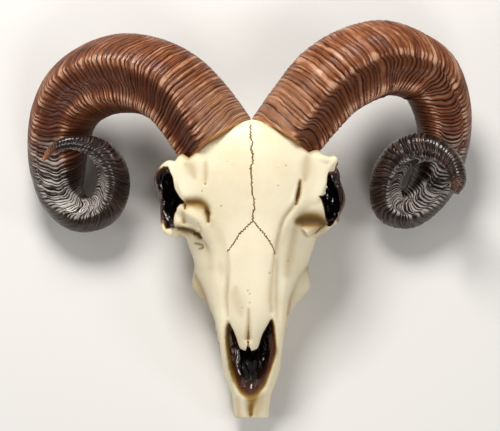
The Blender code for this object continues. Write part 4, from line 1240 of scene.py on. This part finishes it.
HORN_LOOK = {
    RIGHT: {"Ridge spacing": 4.3, "Tip spacing": 2.6, "Outer slant": 34.0, "Front sag": -3.0,
            "Crown sag": 3.0, "Band lag": 12.0, "Wobble": 1.8, "Groove depth": 1.5, "Step": 0.35,
            "Striae": 0.9, "Seed": 3.0},
    LEFT: {"Ridge spacing": 5.1, "Tip spacing": 2.5, "Outer slant": 17.0, "Front sag": -7.0,
           "Crown sag": 2.0, "Band lag": 4.0, "Wobble": 2.8, "Groove depth": 1.9, "Step": 1.0,
           "Striae": 0.4, "Seed": 8.0},
}
FRONT_SHADE = {RIGHT: 1.0, LEFT: 0.6}       # how dark each horn's front face is painted
TIP_WARMTH = {RIGHT: 0.8, LEFT: 0.1}        # how much of the tip's orange shows
# The faces of a horn, as stretches round its section from the front ridge: where each one fades in and out.
HORN_FACES = {"front_face": (0.0, 0.055, 0.115, 0.15), "ridge_band": (0.125, 0.15, 0.17, 0.21),
              "outer_face": (0.62, 0.74, 0.96, 1.0), "underside": (0.19, 0.25, 0.62, 0.70)}
HORN_RINGS = 760
HORN_SIDES = 120
# How strongly each bend of the ridges is felt, round the section from the front ridge and along the horn.
OUTER_ROUND = [(0, 0), (0.16, 0), (0.35, 0.3), (0.55, 0.7), (0.75, 1), (0.88, 0.52), (0.965, 0.08), (1, 0)]
FRONT_ROUND = [(0, 0), (0.02, 0.12), (0.08, 1), (0.16, 0.25), (0.25, 0), (1, 0)]
BAND_ROUND = [(0, 0), (0.08, 0.35), (0.16, 1), (0.3, 0.6), (0.5, 0), (1, 0)]
CROWN_ALONG = [(0, 0), (0.12, 0.3), (0.32, 1), (0.5, 0.2), (0.6, -0.5), (1, -0.5)]
LEAN_ALONG = [(0, -0.35), (0.12, -0.15), (0.22, 0.3), (0.33, 0.95), (0.45, 1), (0.6, 0.55), (1, 0.1)]
WOBBLE_SIZE = 40                    # mm across a slow wobble of the ridges
MERGING_SIZE = 16                   # mm across a stretch in which two ridges run together
FULL_DEPTH_WIDTH = 34               # mm of half width from which the grooves are cut to their full depth


def shaped(recipe, value, points, low, high):
    """The value run through a smooth line of points, whose heights go from low to high."""
    line = [(x, (y - low) / (high - low)) for x, y in points]
    return recipe.add("ShaderNodeFloatCurve", {"curve": line}, {"Value": value}) * (high - low) + low


def ridged_horn():
    """The tree that sweeps the horn's section along its middle line and cuts the grooves between ridges."""
    tree = bpy.data.node_groups.new("ridged_horn", "GeometryNodeTree")
    tree.interface.new_socket(name="Middle line", in_out="INPUT", socket_type="NodeSocketGeometry")
    for name in ("Rings", "Sides"):
        tree.interface.new_socket(name=name, in_out="INPUT", socket_type="NodeSocketInt")
    for name in ["Mirror", "Length"] + list(HORN_LOOK[LEFT]):
        tree.interface.new_socket(name=name, in_out="INPUT", socket_type="NodeSocketFloat")
    tree.interface.new_socket(name="Paint", in_out="INPUT", socket_type="NodeSocketMaterial")
    tree.interface.new_socket(name="Horn", in_out="OUTPUT", socket_type="NodeSocketGeometry")
    recipe = Recipe(tree)

    def given(name):
        return recipe.add("NodeGroupInput", output=name)

    def store(geometry, name, value):
        return recipe.add("GeometryNodeStoreNamedAttribute", {"data_type": "FLOAT", "domain": "POINT"},
                          {"Geometry": geometry, "Name": name, "Value": value})

    def stored(name):
        return recipe.add("GeometryNodeInputNamedAttribute", {"data_type": "FLOAT"}, {"Name": name})

    line = recipe.add("GeometryNodeResampleCurve", None,
                      {"Curve": given("Middle line"), "Count": given("Rings")})
    line = recipe.add("GeometryNodeSetCurveNormal", {"mode": "Z_UP"}, {"Curve": line})
    line = store(line, "along", recipe.add("GeometryNodeSplineParameter", output="Length"))
    line = store(line, "half_width", recipe.add("GeometryNodeInputRadius"))

    circle = recipe.add("GeometryNodeCurvePrimitiveCircle", None,
                        {"Resolution": given("Sides"), "Radius": 1.0})
    turn = recipe.add("GeometryNodeSplineParameter", output="Factor")
    share = shaped(recipe, turn, [(angle / 360, size) for angle, size in HORN_SECTION], 0.8, 1.1)
    place = recipe.add("GeometryNodeInputPosition")
    stretch = recipe.add("ShaderNodeCombineXYZ", None,
                         {"X": share * given("Mirror"), "Y": share * -1, "Z": 1.0})
    place = recipe.add("ShaderNodeVectorMath", {"operation": "MULTIPLY"}, {0: place, 1: stretch})
    circle = recipe.add("GeometryNodeSetPosition", None, {"Geometry": circle, "Position": place})
    circle = store(circle, "around", turn)
    horn = recipe.add("GeometryNodeCurveToMesh", None,
                      {"Curve": line, "Profile Curve": circle, "Scale": stored("half_width"),
                       "Fill Caps": True})

    around, along, width = stored("around"), stored("along"), stored("half_width")
    progress = along / given("Length")
    outer, front, band = [shaped(recipe, around, points, 0, 1) for points in
                          (OUTER_ROUND, FRONT_ROUND, BAND_ROUND)]
    crown, lean = [shaped(recipe, progress, points, -1, 1) for points in (CROWN_ALONG, LEAN_ALONG)]
    spot = recipe.add("GeometryNodeInputPosition")
    drift = recipe.add("ShaderNodeCombineXYZ", None, {"X": given("Seed"), "Y": given("Seed") * 7.3})
    chance = recipe.add("ShaderNodeVectorMath", {"operation": "MULTIPLY_ADD"},
                        {0: spot, 1: (1 / WOBBLE_SIZE, 1 / WOBBLE_SIZE, 1 / WOBBLE_SIZE), 2: drift})
    wide_wobble = recipe.noise(chance, 1.0, 1.0)
    close_wobble = recipe.noise(chance, 4.0, 1.0)
    lagged = (along + outer * given("Outer slant") * lean + front * given("Front sag")
              + crown * (front * given("Crown sag") + band * given("Band lag"))
              + (wide_wobble - 0.5) * given("Wobble") * 3 + (close_wobble - 0.5) * given("Wobble") * 0.7)
    tightening = (given("Tip spacing") / given("Ridge spacing") - 1) / given("Length")
    count = (tightening * lagged + 1).math("LOGARITHM", math.e) / (tightening * given("Ridge spacing"))

    outer_face = around.eased(0.62, 0.74) * (1 - around.eased(0.955, 1.0))
    ripple = recipe.add("ShaderNodeTexNoise", {"noise_dimensions": "1D"},
                        {"W": count * 0.43 + given("Seed") * 11, "Scale": 1.0, "Detail": 1.0})
    count = count + (ripple - 0.5) * 1.4
    place_in_band = count.math("FRACT")
    uneven = recipe.add("ShaderNodeTexWhiteNoise", {"noise_dimensions": "1D"}, {"W": count.math("FLOOR")},
                        output="Value")
    merging = recipe.drawn_out(spot, 1 / MERGING_SIZE, count, 0.5).eased(0.30, 0.60)
    groove = (place_in_band * 2 - 1).math("ABSOLUTE") ** 4.2 * (0.4 + merging * 0.6)
    size = (width / FULL_DEPTH_WIDTH).eased(0.0, 1.0) * 0.75 + 0.25
    depth = (groove * (0.65 + uneven * 0.35) * (1 - outer_face * given("Striae") * 0.5)
             + (1 - place_in_band) * given("Step") * 0.6 + uneven * 0.25 * front
             + (close_wobble - 0.5).math("ABSOLUTE") * 0.3) * given("Groove depth") * size
    normal = recipe.add("GeometryNodeInputNormal")
    inwards = recipe.add("ShaderNodeVectorMath", {"operation": "SCALE"},
                         {0: normal, "Scale": depth * given("Mirror")})
    horn = store(horn, "ridge", count)
    horn = store(horn, "merging", merging)
    horn = recipe.add("GeometryNodeSetPosition", None, {"Geometry": horn, "Offset": inwards})
    horn = recipe.add("GeometryNodeRealizeInstances", None, {"Geometry": horn})
    horn = recipe.add("GeometryNodeSetMaterial", None, {"Geometry": horn, "Material": given("Paint")})
    recipe.add("NodeGroupOutput", None, {"Horn": horn})
    return tree


HORN_DARK = (0.050, 0.010, 0.003)
HORN_TERRACOTTA = (0.25, 0.072, 0.022)
HORN_TAN = (0.44, 0.210, 0.100)
# salmon of the dry-brush, used also for painted highlights
HORN_SALMON = (0.68, 0.43, 0.29)
# pale of the outer face near the base, partly painted light
HORN_PALE_AND_LIT = (0.46, 0.27, 0.165)
HORN_GROOVE = (0.010, 0.0025, 0.0008)
CURL_DARK = (0.010, 0.004, 0.0022)
CURL_BROWN = (0.070, 0.029, 0.016)
# painted glint: silver-white on the dark curls, where the varnish reflects the lights
CURL_GLINT = (0.50, 0.45, 0.41)
TIP_ORANGE = (0.42, 0.15, 0.05)
BASE_ORANGE = (0.52, 0.24, 0.075)


def horn_paint():
    made, recipe, shader = finish_named("varnished_horn", Coat_Roughness=0.14, Specular_IOR_Level=0.2)
    place = recipe.add("ShaderNodeTexCoord", output="Object")
    ridge = recipe.attribute("ridge")
    progress = recipe.attribute("progress")
    edge = recipe.attribute("base_edge")
    striated = recipe.attribute("striated")
    front_ridge = recipe.attribute("front_ridge")
    front_face, ridge_band, outer_face, underside = [recipe.attribute(face) for face in HORN_FACES]
    clouds = recipe.noise(place, 48, 3, 0.6)
    grain = recipe.noise(place, 420, 3, 0.65)
    streak = recipe.drawn_out(place, 60, ridge, 3.1, 2)
    uneven = recipe.add("ShaderNodeTexWhiteNoise", {"noise_dimensions": "1D"}, {"W": ridge.math("FLOOR")},
                        output="Value")
    across = (ridge.math("FRACT") * 2 - 1).math("ABSOLUTE")
    groove = across ** 5.0 * (0.40 + recipe.attribute("merging") * 0.65)
    striae = ((ridge * 1.63 + recipe.noise(place, 14) * 2).math("FRACT") * 2 - 1).math("ABSOLUTE") ** 4.5
    lines = (groove * (1 - striated * 0.3)).math("MAXIMUM", striae * (0.1 + streak * 1.2) * striated)
    curl = (progress + (clouds - 0.5) * 0.12).eased(0.47, 0.60)
    brushed = ((1 - across) * 0.35 + 0.34 - lines * 0.5 + (clouds - 0.5) * 1.1 + (uneven - 0.5) * 0.45
               + (streak - 0.5) * 1.5 + (grain - 0.5) * 0.35)
    body = recipe.mix((brushed + 0.1).eased(-0.1, 0.9), HORN_DARK, HORN_TERRACOTTA)
    # partly painted light: the outer face, which faces the light above, takes more tan and near the base the
    # pale colour, besides its dry-brush
    body = recipe.mix(brushed.eased(0.45, 1.1) * (0.20 + outer_face * 0.6), body, HORN_TAN)
    body = recipe.mix(outer_face * (1 - progress.eased(0.02, 0.20)) * (0.15 + clouds * 0.5), body, HORN_PALE_AND_LIT)
    # painted shade: the underside and the front face, turned away from the light above, are darkened;
    # FRONT_SHADE sets how much on each horn
    body = recipe.mix(underside * 0.75, body, HORN_DARK)
    body = recipe.mix(front_face * 0.8, body, HORN_DARK)
    # dry-brushed salmon on the ridges, with painted highlights on the ridge band and the front ridge, where
    # the gloss catches the light
    salmon_and_highlight = ((brushed + ridge_band * 0.3 + front_ridge * 0.3).eased(0.66, 1.1)
                    * (0.10 + ridge_band * 0.5 + outer_face * 0.25 + front_ridge * 0.5))
    body = recipe.mix(salmon_and_highlight, body, HORN_SALMON)
    curled = recipe.mix(brushed.eased(0.2, 1.0) * 0.75, CURL_DARK, CURL_BROWN)
    # painted highlights: silver glints on the curls' fins, where the varnish would reflect the lights
    fin_glints = (brushed - across * 0.3).eased(0.22, 0.62) * (front_face * 1.2 + ridge_band * 0.8
                                                         + front_ridge * 0.7 + 0.04)
    curled = recipe.mix(fin_glints, curled, CURL_GLINT)
    body = recipe.mix(curl, body, curled)
    body = recipe.mix(recipe.attribute("tip"), body, TIP_ORANGE)
    body = recipe.mix(lines.eased(0.18, 0.65) * 0.94, body, HORN_GROOVE)
    body = recipe.mix((edge * (0.35 + clouds * 1.1)).eased(0.30, 0.95) * 0.75, body, BASE_ORANGE)
    rough = 0.42 + (grain - 0.5) * 0.25 + lines * 0.2 - curl * 0.12
    varnish = 0.12 + curl * 0.35 + (clouds - 0.5) * 0.5 + front_ridge * 0.3 - lines * 0.2
    height = grain * 0.3 + recipe.noise(place, 130, 3) * 0.4 + streak * 0.6 - lines
    bump = recipe.add("ShaderNodeBump", None, {"Height": height, "Strength": 0.7, "Distance": 0.0009},
                      output="Normal")
    recipe.wire(body, shader.inputs["Base Color"])
    recipe.wire(rough, shader.inputs["Roughness"])
    recipe.wire(varnish.math("MAXIMUM", 0.0), shader.inputs["Coat Weight"])
    recipe.wire(bump, shader.inputs["Normal"])
    return made


MIDDLE_LINE_POINTS = 240
BASE_WASH = 2.6                     # mm of ochre wash on the horn beside the bone
BASE_WASH_END = 110                 # u past which the horn has none


def horn(name, side, tree, finish):
    """Sweeps one horn, marks its faces for the paint, and cuts it off where it meets the bone."""
    path = horn_path(name, side, rings=MIDDLE_LINE_POINTS)
    length = sum(spline.calc_length() for spline in path.data.splines)
    step = path.modifiers.new("ridges", "NODES")
    step.node_group = tree
    given = {"Rings": HORN_RINGS, "Sides": HORN_SIDES, "Mirror": float(-side), "Length": length,
             "Paint": finish, **HORN_LOOK[side]}
    for socket in tree.interface.items_tree:
        if socket.name in given:
            step[socket.identifier] = given[socket.name]
    mesh = evaluated_mesh(path)
    bpy.data.objects.remove(path)
    made = add_object(name, mesh)
    around = taken(mesh, "around")
    for face, (low, high, fall, end) in HORN_FACES.items():
        shade = FRONT_SHADE[side] if face == "front_face" else 1.0
        give(mesh, face, shade * eased(around, low, high) * (1 - eased(around, fall, end)))
    give(mesh, "tip", TIP_WARMTH[side] * eased(taken(mesh, "along") / length, 0.96, 0.995))
    give(mesh, "striated", taken(mesh, "outer_face") * HORN_LOOK[side]["Striae"])
    # the front ridge, which carries painted highlights
    give(mesh, "front_ridge", eased(abs(around - 0.5), 0.468, 0.496))
    point, out = horn_base(side)
    cut_flat(made, point, -out)
    cut_flat(made, (side * HORN_GAP, 0, 0), (-side, 0, 0))
    points = vertex_table(made.data)
    rise = (points - np.array(point)) @ np.array(out)
    give(made.data, "base_edge", np.exp(-(rise / BASE_WASH) ** 2) * (points[:, 1] < BASE_WASH_END))
    give(made.data, "progress", taken(made.data, "along") / length)
    made.data.transform(TO_REST)
    made.data.shade_smooth()
    made.data.materials.clear()
    made.data.materials.append(finish)
    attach(made, "root")
    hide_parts(name)
    return made


horn_finish = horn_paint()
horn_nodes = ridged_horn()
horn("horn_left", LEFT, horn_nodes, horn_finish).name = "horn_left_cast"
horn("horn_right", RIGHT, horn_nodes, horn_finish).name = "horn_right_cast"

# ---------------------------------------------------------------- floor, light and camera
# The cast lies on a plain pale studio floor, under one big soft light from beyond its horns and three
# weaker ones. The camera looks down on the face as in the photograph.

FLOOR_GREY = (0.72, 0.71, 0.69)
FLOOR_HALF = 6                      # m from the middle of the floor to its edge
SKY = (1.0, 0.98, 0.95)
SKY_STRENGTH = 0.16
# Each light: its place, the point it looks at, its width in m, its power in W and its colour.
LIGHTS = {
    "key": ((-0.25, 0.85, 1.15), (0, 0.02, 0.06), 0.6, 21, (1, 0.97, 0.93)),
    "front": ((0.25, -0.9, 1.3), (0, 0, 0.06), 0.45, 6.5, (1, 0.98, 0.96)),
    "left side": ((-1.2, -0.35, 0.9), (0, 0, 0.06), 0.4, 3.5, (1, 1, 1)),
    "right side": ((1.2, -0.35, 0.9), (0, 0, 0.06), 0.4, 3.5, (1, 1, 1)),
}
CAMERA_DISTANCE = 1.8               # m from the root of the nose
CAMERA_SHIFT = -0.0013              # m, the camera's place left of the skull's middle
PHOTO_WIDTH = 0.426                 # m of the face's plane across the picture
SENSOR = 36                         # mm, the camera's picture width


def pale_floor():
    made, _, shader = finish_named("pale_floor", Roughness=0.85, Specular_IOR_Level=0.2)
    shader.inputs["Base Color"].default_value = (*FLOOR_GREY, 1)
    bm = bmesh.new()
    bmesh.ops.create_grid(bm, x_segments=1, y_segments=1, size=FLOOR_HALF)
    floor = add_object("floor", mesh_from(bm, "floor"))
    floor.data.materials.append(made)


def soft_light(name, place, target, size, power, colour):
    light = bpy.data.lights.new(name, "AREA")
    light.shape = "DISK"
    light.size = size
    light.energy = power
    light.color = colour
    made = bpy.data.objects.new(name, light)
    made.location = place
    made.rotation_euler = (Vector(target) - Vector(place)).to_track_quat("-Z", "Y").to_euler()
    bpy.context.scene.collection.objects.link(made)


def studio():
    world = bpy.data.worlds.new("studio")
    world.use_nodes = True
    sky = world.node_tree.nodes["Background"]
    sky.inputs["Color"].default_value = (*SKY, 1)
    sky.inputs["Strength"].default_value = SKY_STRENGTH
    bpy.context.scene.world = world
    for name, settings in LIGHTS.items():
        soft_light(name, *settings)
    bpy.context.scene.view_settings.view_transform = "Standard"


def camera():
    made = bpy.data.objects.new("camera", bpy.data.cameras.new("camera"))
    bpy.context.scene.collection.objects.link(made)
    middle = TO_REST @ Vector((0, 0, 0))
    made.location = middle + Matrix.Rotation(FACE_TILT, 3, "X") @ Vector((CAMERA_SHIFT, 0, CAMERA_DISTANCE))
    made.rotation_euler = (FACE_TILT, 0, 0)
    made.data.sensor_width = SENSOR
    made.data.lens = SENSOR * CAMERA_DISTANCE / PHOTO_WIDTH
    made.data.clip_start = 0.05
    bpy.context.scene.camera = made


pale_floor()
studio()
camera()
